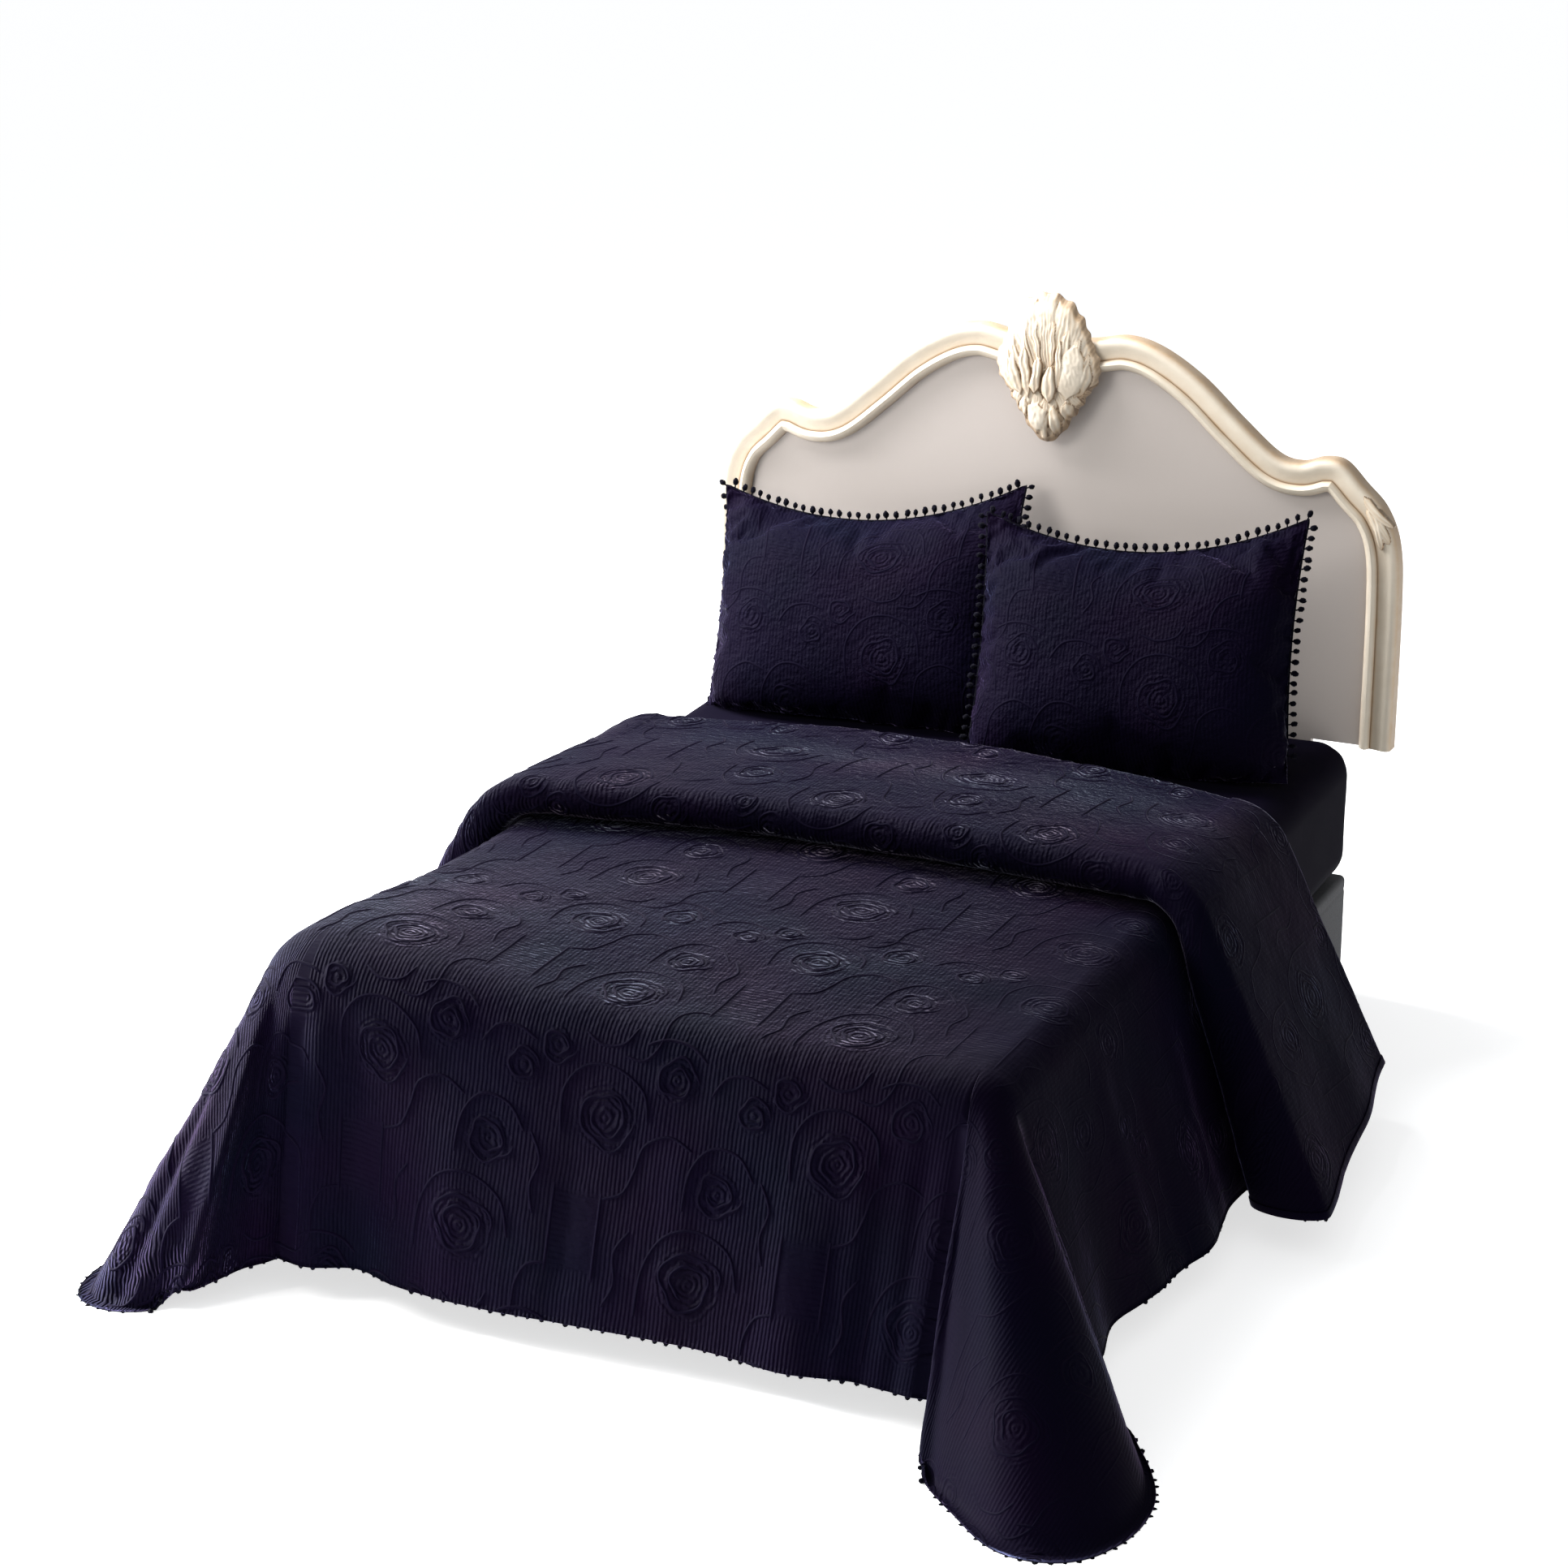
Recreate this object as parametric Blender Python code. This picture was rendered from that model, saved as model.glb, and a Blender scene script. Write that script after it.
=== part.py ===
"""A quilted bedspread with two pillow shams on a double bed with a carved headboard.

Metres, +Z up. The origin is on the floor under the middle of the bed base. The foot of the bed
faces -Y, and +X is the right side as seen from the foot.
"""

import math

import bmesh
import bpy
from mathutils import Vector

# Bed
BED_WIDTH = 1.40
BED_LENGTH = 2.03
BASE_HEIGHT = 0.27
BASE_INSET = 0.006
BASE_BEVEL = 0.012
MATTRESS_TOP = 0.575
MATTRESS_EDGE = 0.07
MATTRESS_EDGE_STEPS = 4
SEAT_GAP = 0.0003
CORNER_X = BED_WIDTH / 2
FOOT_Y = -BED_LENGTH / 2
HEAD_Y = BED_LENGTH / 2

# Bedspread: two faces with a thin wadding between them
CLOTH = 0.004
CLOTH_GAP = 0.004
SPREAD_Z = MATTRESS_TOP + CLOTH_GAP + CLOTH / 2
SPREAD_EDGE = MATTRESS_EDGE + CLOTH_GAP + CLOTH / 2
EDGE_X = CORNER_X - MATTRESS_EDGE
EDGE_Y = FOOT_Y + MATTRESS_EDGE
CROWN = 0.012
CROWN_EASE = 0.35
SEAT_EASE = 0.25
HEM_Z = 0.088
HEM_LIP = 0.022
SIDE_REACH = 0.145
FOOT_REACH = 0.150
FOOT_NARROWING = 0.045
FLOOR_BLEND = 0.075
ROUND_STEPS = 4
FALL_STEPS = 4
TOP_COLUMNS = 13
SPREAD_ROWS = 9
MOST_SHELL = 1.5

# The turned-back band: where it folds, how thick its layers lie, how far its flaps open, and how
# its edges bow. The turns, in degrees, are the places round each fold that have a row of points
BACK_Y = 0.380
BACK_RADIUS = 0.028
BACK_TURNS = (-45, 0, 45, 90)
ROLL_Y = -0.100
ROLL_RADIUS = 0.038
ROLL_TURNS = (130, 180, 230, 270)
TUCK_HEIGHT = 0.012
TUCK_END_Y = 0.060
TUCK_SWEEP = 0.8
BAND_ROWS = 5
FLAP_OPENING = 0.95
FLAP_FORWARD = -0.11
FLAP_RISE = 0.060
BACK_BOW = 0.10
BACK_BOW_FROM = 0.55
FRONT_BOW = 0.05
FRONT_BOW_FROM = 0.05
FRONT_BOW_LENGTH = 0.6

# The quilt stands puffed up over the left foot corner
PUFF = 0.055
PUFF_WIDTH = 0.38

# Soft folds. Columns: place along the edge, width, reach beyond the plain skirt
RIGHT_FOLDS = (
    (-0.78, 0.20, -0.030),
    (-0.42, 0.22, 0.028),
    (-0.12, 0.20, 0.012),
    (0.22, 0.22, 0.018),
)
LEFT_FOLDS = (
    (-0.74, 0.20, -0.025),
    (-0.45, 0.22, 0.030),
    (-0.12, 0.18, 0.010),
    (0.20, 0.22, 0.020),
)
FOOT_FOLDS = (
    (-0.50, 0.14, -0.030),
    (-0.22, 0.30, 0.012),
    (0.16, 0.26, -0.008),
    (0.36, 0.14, 0.012),
    (0.50, 0.12, -0.012),
)

# Corner flares. Columns: turn about the mattress corner in degrees, 0 along the side and -90 along
# the foot; reach of the hem from that corner; height of the hem above the floor
RIGHT_FLARE = (
    (6.0, 0.125, 0.080),
    (-5.0, 0.185, 0.056),
    (-13.0, 0.255, 0.024),
    (-23.0, 0.335, 0.000),
    (-34.0, 0.410, 0.000),
    (-47.0, 0.480, 0.000),
    (-58.0, 0.505, 0.000),
    (-69.0, 0.470, 0.000),
    (-80.0, 0.365, 0.000),
    (-90.0, 0.300, 0.000),
    (-98.0, 0.262, 0.024),
    (-104.0, 0.205, 0.056),
    (-112.0, 0.130, 0.080),
)
LEFT_FLARE = (
    (6.0, 0.140, 0.080),
    (-4.0, 0.185, 0.062),
    (-14.0, 0.235, 0.032),
    (-26.0, 0.295, 0.000),
    (-38.0, 0.350, 0.000),
    (-50.0, 0.385, 0.000),
    (-61.0, 0.365, 0.000),
    (-70.0, 0.310, 0.000),
    (-77.0, 0.258, 0.036),
    (-85.0, 0.226, 0.064),
    (-97.0, 0.190, 0.078),
    (-112.0, 0.135, 0.080),
)
FLARE_STEPS = 15

# Pompom trim
TRIM_GAP = 0.0016
FLAP_TRIM_GAP = 0.0007
TRIM_DEEP = 0.0045
TRIM_THICK = 0.0034
ROOT_WIDTH = 0.004
BELLY = ((-1, -1), (-1, 1), (1, 1), (1, -1))
STEM = 0.0035
STEM_SHRINK = 0.7
BALL_REACH = 0.0068
BALL_HALF = 0.0058
HEM_TRIM_END_Y = -0.26
HEM_PITCH = 0.062
SHAM_PITCH = 0.033
ROOT_CLEAR = 0.001
FLOOR_CLEAR = 0.0003

# Shams: flat cut, filling, and how the top edge sags and the sides draw in, as shares of the cut
SHAM_WIDTH = 0.680
SHAM_HEIGHT = 0.545
SHAM_FILL = 0.095
SHAM_RIM = 0.0045
SHAM_SAG = 0.144
SHAM_SAG_FROM = -0.2
SHAM_DRAW_SIDE = 0.044
SHAM_BEND = 0.035
SHAM_CROWN_POWER = 0.70
SHAM_BELLY = 0.21
SHAM_BELLY_LEVEL = 0.15
SHAM_COLUMNS = 12
SHAM_ROWS = 10
SHAM_TRIM_ROW = 2

# Where each sham leans. Columns: name, middle x, bottom y, lean in degrees, turn about Z, roll in
# its own plane, how far its bottom edge sinks into the bed, and how far the pompoms of its left side
# are turned to the back
SHAMS = (
    ("left", -0.315, 0.700, 25.0, 2.5, -5.5, 0.034, 58.0),
    ("right", 0.330, 0.600, 24.0, 4.0, -4.0, 0.006, 0.0),
)
SIDE_TURN_EASE = 0.22

# Headboard
PANEL_THICK = 0.018
PANEL_RECESS = 0.002
PANEL_FRONT_Y = HEAD_Y + SEAT_GAP
PANEL_BACK_Y = PANEL_FRONT_Y + PANEL_THICK
BOARD_BACK_Y = PANEL_BACK_Y + PANEL_RECESS
PANEL_INSET = 0.052
TONGUE_X = 0.60
TONGUE_Z = 0.40
FRAME_STEPS = 2
BOARD_CENTRE = (0.0, 0.9)
LEG_X = 0.45
LEG_WIDTH = 0.06
LEG_THICK = 0.022
LEG_TOP_Z = 0.90

# Half of the board's outer edge, from the crest down the right side. Columns: x, z
BOARD_EDGE = (
    (0.000, 1.364),
    (0.090, 1.374),
    (0.165, 1.386),
    (0.240, 1.368),
    (0.330, 1.314),
    (0.422, 1.233),
    (0.500, 1.170),
    (0.552, 1.158),
    (0.600, 1.172),
    (0.645, 1.168),
    (0.692, 1.124),
    (0.738, 1.076),
    (0.768, 1.000),
    (0.777, 0.870),
    (0.777, 0.560),
)

# The frame's moulding. Columns: distance in from the outer edge, height above the board's back
FRAME_FACE = 0.046
FRAME_PROFILE = (
    (0.000, 0.000),
    (0.000, 0.034),
    (0.008, 0.040),
    (0.015, 0.035),
    (0.028, FRAME_FACE),
    (0.044, 0.045),
    (0.056, 0.034),
    (0.064, 0.038),
    (0.070, 0.030),
    (0.070, 0.0215),
    (0.050, 0.0215),
    (0.050, 0.000),
)

# Crest: a carved leaf shield. Columns: angle from the top in degrees, reach from its middle
CREST_MIDDLE_Z = 1.312
CREST_SIDE = 0.118
CREST_EDGE = (
    (0.0, 0.163),
    (18.0, 0.150),
    (32.0, 0.128),
    (48.0, 0.112),
    (62.0, 0.112),
    (80.0, CREST_SIDE),
    (100.0, 0.116),
    (120.0, 0.106),
    (138.0, 0.112),
    (152.0, 0.122),
    (168.0, 0.150),
    (180.0, 0.168),
)
CREST_THICK = 0.034
CREST_BLOCK = 0.50
CREST_POINTS = 36
CREST_LEAVES = 9
CREST_RELIEF = 0.006

# The crest's front. Columns: share of its outline, share of its thickness there
CREST_LEVELS = (
    (0.18, 1.00),
    (0.45, 0.96),
    (0.72, 0.80),
    (0.92, 0.50),
    (1.00, 0.12),
    (1.00, 0.00),
)

# Colours of the materials: red, green, blue, then roughness
NAVY = (0.012, 0.012, 0.030, 0.85)
SHEET_NAVY = (0.008, 0.007, 0.020, 0.80)
CREAM = (0.78, 0.70, 0.56, 0.45)
PANEL_GREY = (0.52, 0.47, 0.42, 0.60)
BASE_GREY = (0.18, 0.18, 0.19, 0.80)
WOOD = (0.50, 0.40, 0.28, 0.70)


def clear_scene():
    for item in list(bpy.data.objects):
        bpy.data.objects.remove(item, do_unlink=True)


def material(name, look):
    made = bpy.data.materials.new(name)
    made.use_nodes = True
    shader = made.node_tree.nodes["Principled BSDF"]
    shader.inputs["Base Color"].default_value = (look[0], look[1], look[2], 1.0)
    shader.inputs["Roughness"].default_value = look[3]
    shader.inputs["Metallic"].default_value = 0.0
    return made


def add_object(name, mesh, look):
    mesh.materials.append(look)
    item = bpy.data.objects.new(name, mesh)
    bpy.context.scene.collection.objects.link(item)
    return item


def finish_mesh(bm, name):
    """Face every side of a closed shape outwards and store it as a mesh."""
    bmesh.ops.recalc_face_normals(bm, faces=bm.faces)
    mesh = bpy.data.meshes.new(name)
    bm.to_mesh(mesh)
    bm.free()
    mesh.shade_smooth()
    return mesh


def smooth_table(table, at):
    """Read a table's columns at the place `at` (0 to 1 along its rows) on a smooth curve."""
    rows = [Vector(row) for row in table]
    place = min(max(at, 0.0), 1.0) * (len(rows) - 1)
    low = min(int(place), len(rows) - 2)
    t = place - low
    before = rows[max(low - 1, 0)]
    after = rows[min(low + 2, len(rows) - 1)]
    start, end = rows[low], rows[low + 1]
    bend_in = (end - before) / 2
    bend_out = (after - start) / 2
    return (
        start * (2 * t**3 - 3 * t**2 + 1)
        + bend_in * (t**3 - 2 * t**2 + t)
        + end * (3 * t**2 - 2 * t**3)
        + bend_out * (t**3 - t**2)
    )


def ease(t):
    t = min(max(t, 0.0), 1.0)
    return t * t * (3 - 2 * t)


def fold_reach(folds, place):
    """Sum of soft folds at a place along an edge."""
    return sum(reach * math.exp(-(((place - at) / (width / 2)) ** 2)) for at, width, reach in folds)


def skirt_line(centre, hem, stand):
    """Points from the top's edge over its round edge and straight down to the hem.

    `centre` is the round edge's middle, and `stand` lifts the line off the lowest layer.
    A hem on the floor ends in a lip that lies flat.
    """
    radius = SPREAD_EDGE + stand
    flat = Vector((hem.x - centre.x, hem.y - centre.y, 0.0))
    outward = flat.normalized()
    reach = flat.length
    drop = hem.z - centre.z
    distance = math.hypot(reach, drop)
    tangent_turn = math.atan2(reach, drop) - math.acos(radius / distance)
    points = []
    for step in range(ROUND_STEPS + 1):
        turn = tangent_turn * step / ROUND_STEPS
        points.append(centre + outward * radius * math.sin(turn) + Vector((0, 0, radius * math.cos(turn))))
    start = points[-1]
    for step in range(1, FALL_STEPS + 1):
        points.append(start.lerp(hem, step / FALL_STEPS))
    fall = (hem - start).normalized()
    on_floor = ease(1.0 - (hem.z - CLOTH / 2) / FLOOR_BLEND)
    points.append(hem + fall.lerp(outward, on_floor).normalized() * HEM_LIP)
    if points[-1].z < CLOTH / 2:
        points[-1].z = CLOTH / 2
    return points


def section_rows():
    """Lengthwise section of the spread, from the foot edge to the tucked-in end.

    Each row is (y, height over the lowest layer, share of the flap's forward sweep, share of bow).
    """
    rows = []
    for step in range(SPREAD_ROWS):
        t = step / (SPREAD_ROWS - 1)
        bow = ease((t - BACK_BOW_FROM) / (1 - BACK_BOW_FROM))
        rows.append((EDGE_Y + (BACK_Y - EDGE_Y) * t, 0.0, 0.0, bow))
    for turn in BACK_TURNS:
        angle = math.radians(turn)
        y = BACK_Y + BACK_RADIUS * math.cos(angle)
        rows.append((y, BACK_RADIUS * (1 + math.sin(angle)), 0.0, 1.0))
    roll_top = TUCK_HEIGHT + 2 * ROLL_RADIUS
    for step in range(1, BAND_ROWS + 1):
        t = step / BAND_ROWS
        height = 2 * BACK_RADIUS + (roll_top - 2 * BACK_RADIUS) * ease(t)
        rows.append((BACK_Y + (ROLL_Y - BACK_Y) * t, height, t, 1.0 - t))
    for turn in ROLL_TURNS:
        angle = math.radians(turn)
        y = ROLL_Y + ROLL_RADIUS * math.cos(angle)
        height = TUCK_HEIGHT + ROLL_RADIUS * (1 + math.sin(angle))
        rows.append((y, height, 1.0, 0.0))
    rows.append((TUCK_END_Y, TUCK_HEIGHT, TUCK_SWEEP, 0.0))
    return rows


def side_hem(side, y, height, sweep):
    """Hem point of a row on one side of the bed; `side` is -1 or 1."""
    folds = RIGHT_FOLDS if side > 0 else LEFT_FOLDS
    reach = SIDE_REACH + fold_reach(folds, y) + height * (1 + FLAP_OPENING)
    rise = FLAP_RISE * ease(height / BACK_RADIUS / 2) * (1 - sweep)
    return Vector((side * (CORNER_X + reach), y + FLAP_FORWARD * sweep, HEM_Z + rise))


def top_height(x, y):
    """The crown of the quilt over the mattress, which it touches where it is turned back."""
    across = 1.0 - (x / EDGE_X) ** 2
    along = ease((y - EDGE_Y) / CROWN_EASE)
    seated = ease((y - BACK_Y) / SEAT_EASE + 1.0)
    return CROWN * across * along * (1.0 - seated) - (CLOTH_GAP - SEAT_GAP) * seated


def puff(x, y):
    """How far the quilt stands off the bed round its left foot corner."""
    distance = math.hypot(x + EDGE_X, y - EDGE_Y)
    return PUFF * math.exp(-((distance / PUFF_WIDTH) ** 2))


def bow_shift(x, row_bow, sweep):
    """The band's edges aren't straight: the back one bows to the head, the front one turns left."""
    back = BACK_BOW * (1.0 - (x / EDGE_X) ** 2) * row_bow
    front = -FRONT_BOW * ease((-x - FRONT_BOW_FROM) / FRONT_BOW_LENGTH) * sweep
    return back + front


def body_row(row):
    """One crosswise row: left hem, over the bed, right hem."""
    y, height, sweep, bow = row
    points = []
    for side in (-1, 1):
        shift = bow_shift(side * EDGE_X, bow, sweep)
        centre = Vector((side * EDGE_X, y + shift, SPREAD_Z - SPREAD_EDGE))
        hem = side_hem(side, y + shift, height, sweep)
        points.append(skirt_line(centre, hem, height + puff(centre.x, centre.y)))
    across = []
    for step in range(1, TOP_COLUMNS - 1):
        x = EDGE_X * (2 * step / (TOP_COLUMNS - 1) - 1)
        place = y + bow_shift(x, bow, sweep)
        across.append(Vector((x, place, SPREAD_Z + height + top_height(x, place) + puff(x, place))))
    return points[0][::-1] + across + points[1]


def foot_line(x):
    """The skirt line that falls from the foot edge at one place."""
    centre = Vector((x, EDGE_Y, SPREAD_Z - SPREAD_EDGE))
    narrowing = 1.0 - FOOT_NARROWING * (abs(x) / EDGE_X) ** 3
    reach = FOOT_REACH + fold_reach(FOOT_FOLDS, x)
    return skirt_line(centre, Vector((x * narrowing, FOOT_Y - reach, HEM_Z)), puff(x, EDGE_Y))


def flare_line(side, table, at):
    """One skirt line of a corner flare; `at` runs 0 to 1 from the side to the foot."""
    turn, reach, lift = smooth_table(table, at)
    angle = math.radians(turn)
    centre = Vector((side * EDGE_X, EDGE_Y, SPREAD_Z - SPREAD_EDGE))
    hem = Vector((
        side * (CORNER_X + reach * math.cos(angle)),
        FOOT_Y + reach * math.sin(angle),
        max(lift, CLOTH / 2),
    ))
    return skirt_line(centre, hem, puff(centre.x, centre.y))


def flare_table(side):
    return RIGHT_FLARE if side > 0 else LEFT_FLARE


def spread_surface():
    """The spread's middle surface as an open bmesh, and its hem's rows for the trim."""
    bm = bmesh.new()
    rows = [[bm.verts.new(p) for p in body_row(row)] for row in section_rows()]
    for row, following in zip(rows, rows[1:]):
        for k in range(len(row) - 1):
            bm.faces.new((row[k], row[k + 1], following[k + 1], following[k]))
    deep = ROUND_STEPS + FALL_STEPS + 2
    first = rows[0]
    left_side = first[deep - 1::-1]
    right_side = first[len(first) - deep:]
    foot_tops = first[deep - 1:len(first) - deep + 1]
    foot_columns = [[top] + [bm.verts.new(p) for p in foot_line(top.co.x)[1:]] for top in foot_tops]
    columns = [left_side]
    for step in range(1, FLARE_STEPS):
        line = flare_line(-1, flare_table(-1), (step - 1) / (FLARE_STEPS - 2))
        columns.append([left_side[0]] + [bm.verts.new(p) for p in line[1:]])
    columns += foot_columns
    for step in range(FLARE_STEPS - 1, 0, -1):
        line = flare_line(1, flare_table(1), (step - 1) / (FLARE_STEPS - 2))
        columns.append([right_side[0]] + [bm.verts.new(p) for p in line[1:]])
    columns.append(right_side)
    for left, right in zip(columns, columns[1:]):
        for k in range(deep - 1):
            corners = [left[k], left[k + 1], right[k + 1], right[k]]
            if left[k] is right[k]:
                corners.pop()
            bm.faces.new(corners)
    bmesh.ops.recalc_face_normals(bm, faces=bm.faces)
    bm.normal_update()
    if foot_tops[TOP_COLUMNS // 2].normal.z < 0:
        bmesh.ops.reverse_faces(bm, faces=bm.faces)
        bm.normal_update()
    return bm, rows, columns


def shell_offset(vert):
    return vert.normal * min(vert.calc_shell_factor(), MOST_SHELL) * CLOTH / 2


def thicken(bm, name):
    """Close an open surface into a sheet of the cloth's thickness that never dips under the floor."""
    offsets = {vert: shell_offset(vert) for vert in bm.verts}
    faces = list(bm.faces)
    edges = [edge for edge in bm.edges if edge.is_boundary]
    solid = bmesh.new()
    above = {}
    below = {}
    for vert, offset in offsets.items():
        for shell, sign in ((above, 1), (below, -1)):
            point = vert.co + offset * sign
            point.z = max(point.z, 0.0)
            shell[vert] = solid.verts.new(point)
    for face in faces:
        solid.faces.new([above[v] for v in face.verts])
        solid.faces.new([below[v] for v in reversed(face.verts)])
    for edge in edges:
        a, b = edge.verts
        solid.faces.new((above[a], above[b], below[b], below[a]))
    bm.free()
    return finish_mesh(solid, name)


def hang_way(out, normal, room):
    """The way a pompom hangs: straight out of the cloth, or splayed so that it rests on the floor."""
    down = max(out.z, -room / (STEM + BALL_REACH))
    level = Vector((out.x + normal.x, out.y + normal.y, 0.0))
    if down == out.z or level.length == 0.0:
        return out
    return level.normalized() * math.sqrt(1.0 - down * down) + Vector((0, 0, down))


def trim_mesh(name, path, pitch, gap):
    """A narrow strip with pompoms along one edge.

    Each row of `path` is (edge point, way out from the cloth, the cloth's normal).
    The pompoms' roots are part of the strip, and the rest of them stands apart.
    """
    bm = bmesh.new()

    def ring(point, out, normal):
        outer = point + out * (gap + TRIM_DEEP)
        half = normal * TRIM_THICK / 2
        inner = bm.verts.new(point + out * gap)
        return inner, bm.verts.new(outer - half), bm.verts.new(outer + half)

    def pompom(start, end, out, normal):
        roots = [start[1], start[2], end[2], end[1]]
        middle = sum((v.co for v in roots), Vector()) / 4
        along = ((end[1].co - start[1].co) + (end[2].co - start[2].co)).normalized()
        room = middle.z - FLOOR_CLEAR - BALL_HALF * (1 + abs(along.z))
        way = hang_way(out, normal, room)
        across = along.cross(way).normalized()
        if across.dot(start[2].co - start[1].co) < 0:
            across = -across
        ball = middle + way * (STEM + BALL_REACH)
        neck = [bm.verts.new(middle + way * STEM + (v.co - middle) * STEM_SHRINK) for v in roots]
        belly = [bm.verts.new(ball + (along * a + across * b) * BALL_HALF) for a, b in BELLY]
        tip = bm.verts.new(ball + way * BALL_REACH)
        tip.co.z = max(tip.co.z, FLOOR_CLEAR)
        for k in range(4):
            j = (k + 1) % 4
            bm.faces.new((roots[k], roots[j], neck[j], neck[k]))
            bm.faces.new((neck[k], neck[j], belly[j], belly[k]))
            bm.faces.new((belly[k], belly[j], tip))

    previous = ring(*path[0])
    bm.faces.new(previous)
    walked = pitch / 2
    for (start, out_a, normal_a), (end, out_b, normal_b) in zip(path, path[1:]):
        length = (end - start).length
        margin = ROOT_WIDTH / 2 + ROOT_CLEAR
        stops = []
        while walked < length - margin:
            if walked > margin:
                stops += [((walked - ROOT_WIDTH / 2) / length, False)]
                stops += [((walked + ROOT_WIDTH / 2) / length, True)]
            walked += pitch if walked > margin else margin
        walked -= length
        stops.append((1.0, False))
        for t, is_pompom in stops:
            out = out_a.lerp(out_b, t).normalized()
            normal = normal_a.lerp(normal_b, t).normalized()
            here = ring(start.lerp(end, t), out, normal)
            bm.faces.new((previous[0], here[0], here[1], previous[1]))
            bm.faces.new((previous[2], here[2], here[0], previous[0]))
            if is_pompom:
                pompom(previous, here, out, normal)
            else:
                bm.faces.new((previous[1], here[1], here[2], previous[2]))
            previous = here
    bm.faces.new(previous[::-1])
    return finish_mesh(bm, name)


def edge_path(verts, inner_verts):
    """Trim path along a hem: its points, the ways out of the cloth there, and its normals."""
    path = []
    last = len(verts) - 1
    for k, (vert, inner) in enumerate(zip(verts, inner_verts)):
        along = verts[min(k + 1, last)].co - verts[max(k - 1, 0)].co
        out = along.cross(vert.normal).normalized()
        if out.dot(vert.co - inner.co) < 0:
            out = -out
        path.append((vert.co.copy(), out, vert.normal.copy()))
    return path


def hem_paths(rows, columns):
    """Paths of the spread's trim: the long hem round the foot, and the band's two flaps."""
    under_rows = [(row, y) for row, (y, height, _, _) in zip(rows, section_rows()) if height == 0.0]
    front_rows = [row for row, y in under_rows if y < HEM_TRIM_END_Y]
    left = front_rows[:0:-1]
    right = front_rows[1:]
    ends = [row[0] for row in left] + [column[-1] for column in columns] + [row[-1] for row in right]
    inner = [row[1] for row in left] + [column[-2] for column in columns] + [row[-2] for row in right]
    paths = {"spread_trim_hem": edge_path(ends, inner)}
    first = SPREAD_ROWS + 1
    last = SPREAD_ROWS + len(BACK_TURNS) + BAND_ROWS + 2
    flap = rows[first:last]
    paths["spread_trim_flap_left"] = edge_path([row[0] for row in flap], [row[1] for row in flap])
    paths["spread_trim_flap_right"] = edge_path([row[-1] for row in flap], [row[-2] for row in flap])
    return paths


def build_spread(cloth, yarn):
    bm, rows, columns = spread_surface()
    paths = hem_paths(rows, columns)
    add_object("bedspread", thicken(bm, "bedspread"), cloth)
    for name, path in paths.items():
        gap = TRIM_GAP if name == "spread_trim_hem" else FLAP_TRIM_GAP
        add_object(name, trim_mesh(name, path, HEM_PITCH, gap), yarn)


def sham_point(u, v, face):
    """A point of a filled sham in its own frame: x across, y to the back, z up from the bottom edge.

    u and v run from -1 to 1 over its flat cut, and `face` is -1 for the front and 1 for the back.
    """
    x = SHAM_WIDTH / 2 * u * (1.0 - SHAM_DRAW_SIDE * (1.0 - v * v))
    upper = ease((v - SHAM_SAG_FROM) / (1 - SHAM_SAG_FROM))
    z = SHAM_HEIGHT * ((v + 1) / 2 - SHAM_SAG * (1.0 - u * u) * upper)
    crown = ((1.0 - u**4) * (1.0 - v**4)) ** SHAM_CROWN_POWER
    full = 1.0 + SHAM_BELLY * (SHAM_BELLY_LEVEL - v)
    thick = SHAM_RIM / 2 + SHAM_FILL * crown * full
    y = face * thick + SHAM_BEND * ((v + 1) / 2) ** 2
    return Vector((x, y, z))


def sham_place(point, spec):
    """Move a sham's own point to its place on the bed, flat where it rests on the sheet."""
    _, middle_x, bottom_y, lean, turn, roll, sink, _ = spec
    roll, lean, turn = math.radians(roll), math.radians(lean), math.radians(turn)
    x = point.x * math.cos(roll) + point.z * math.sin(roll)
    z = point.z * math.cos(roll) - point.x * math.sin(roll) - sink
    y = point.y * math.cos(lean) + z * math.sin(lean)
    z = z * math.cos(lean) - point.y * math.sin(lean)
    placed = Vector((
        middle_x + x * math.cos(turn) - y * math.sin(turn),
        bottom_y + x * math.sin(turn) + y * math.cos(turn),
        MATTRESS_TOP + SEAT_GAP + z,
    ))
    placed.z = max(placed.z, MATTRESS_TOP + SEAT_GAP)
    return placed


def edge_spaced(step, count):
    """Grid places from -1 to 1 that gather towards the edges."""
    return math.sin(math.pi / 2 * (2 * step / count - 1))


def build_sham(spec, cloth, yarn):
    name = "sham_" + spec[0]
    bm = bmesh.new()
    grids = {}
    for face in (-1, 1):
        grids[face] = [
            [
                bm.verts.new(sham_place(
                    sham_point(edge_spaced(i, SHAM_COLUMNS), edge_spaced(j, SHAM_ROWS), face), spec
                ))
                for i in range(SHAM_COLUMNS + 1)
            ]
            for j in range(SHAM_ROWS + 1)
        ]
        for low, high in zip(grids[face], grids[face][1:]):
            for i in range(SHAM_COLUMNS):
                bm.faces.new((low[i], low[i + 1], high[i + 1], high[i]))

    def rim(grid):
        top = grid[-1]
        left = [row[0] for row in grid]
        right = [row[-1] for row in grid]
        return left[:-1] + top[:-1] + right[::-1][:-1] + grid[0][::-1][:-1]

    front, back = rim(grids[-1]), rim(grids[1])
    for k in range(len(front)):
        j = (k + 1) % len(front)
        bm.faces.new((front[k], front[j], back[j], back[k]))
    add_object(name, finish_mesh(bm, name), cloth)
    trim_name = name + "_trim"
    trim = trim_mesh(trim_name, sham_trim_path(spec), SHAM_PITCH, TRIM_GAP)
    add_object(trim_name, trim, yarn)


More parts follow.
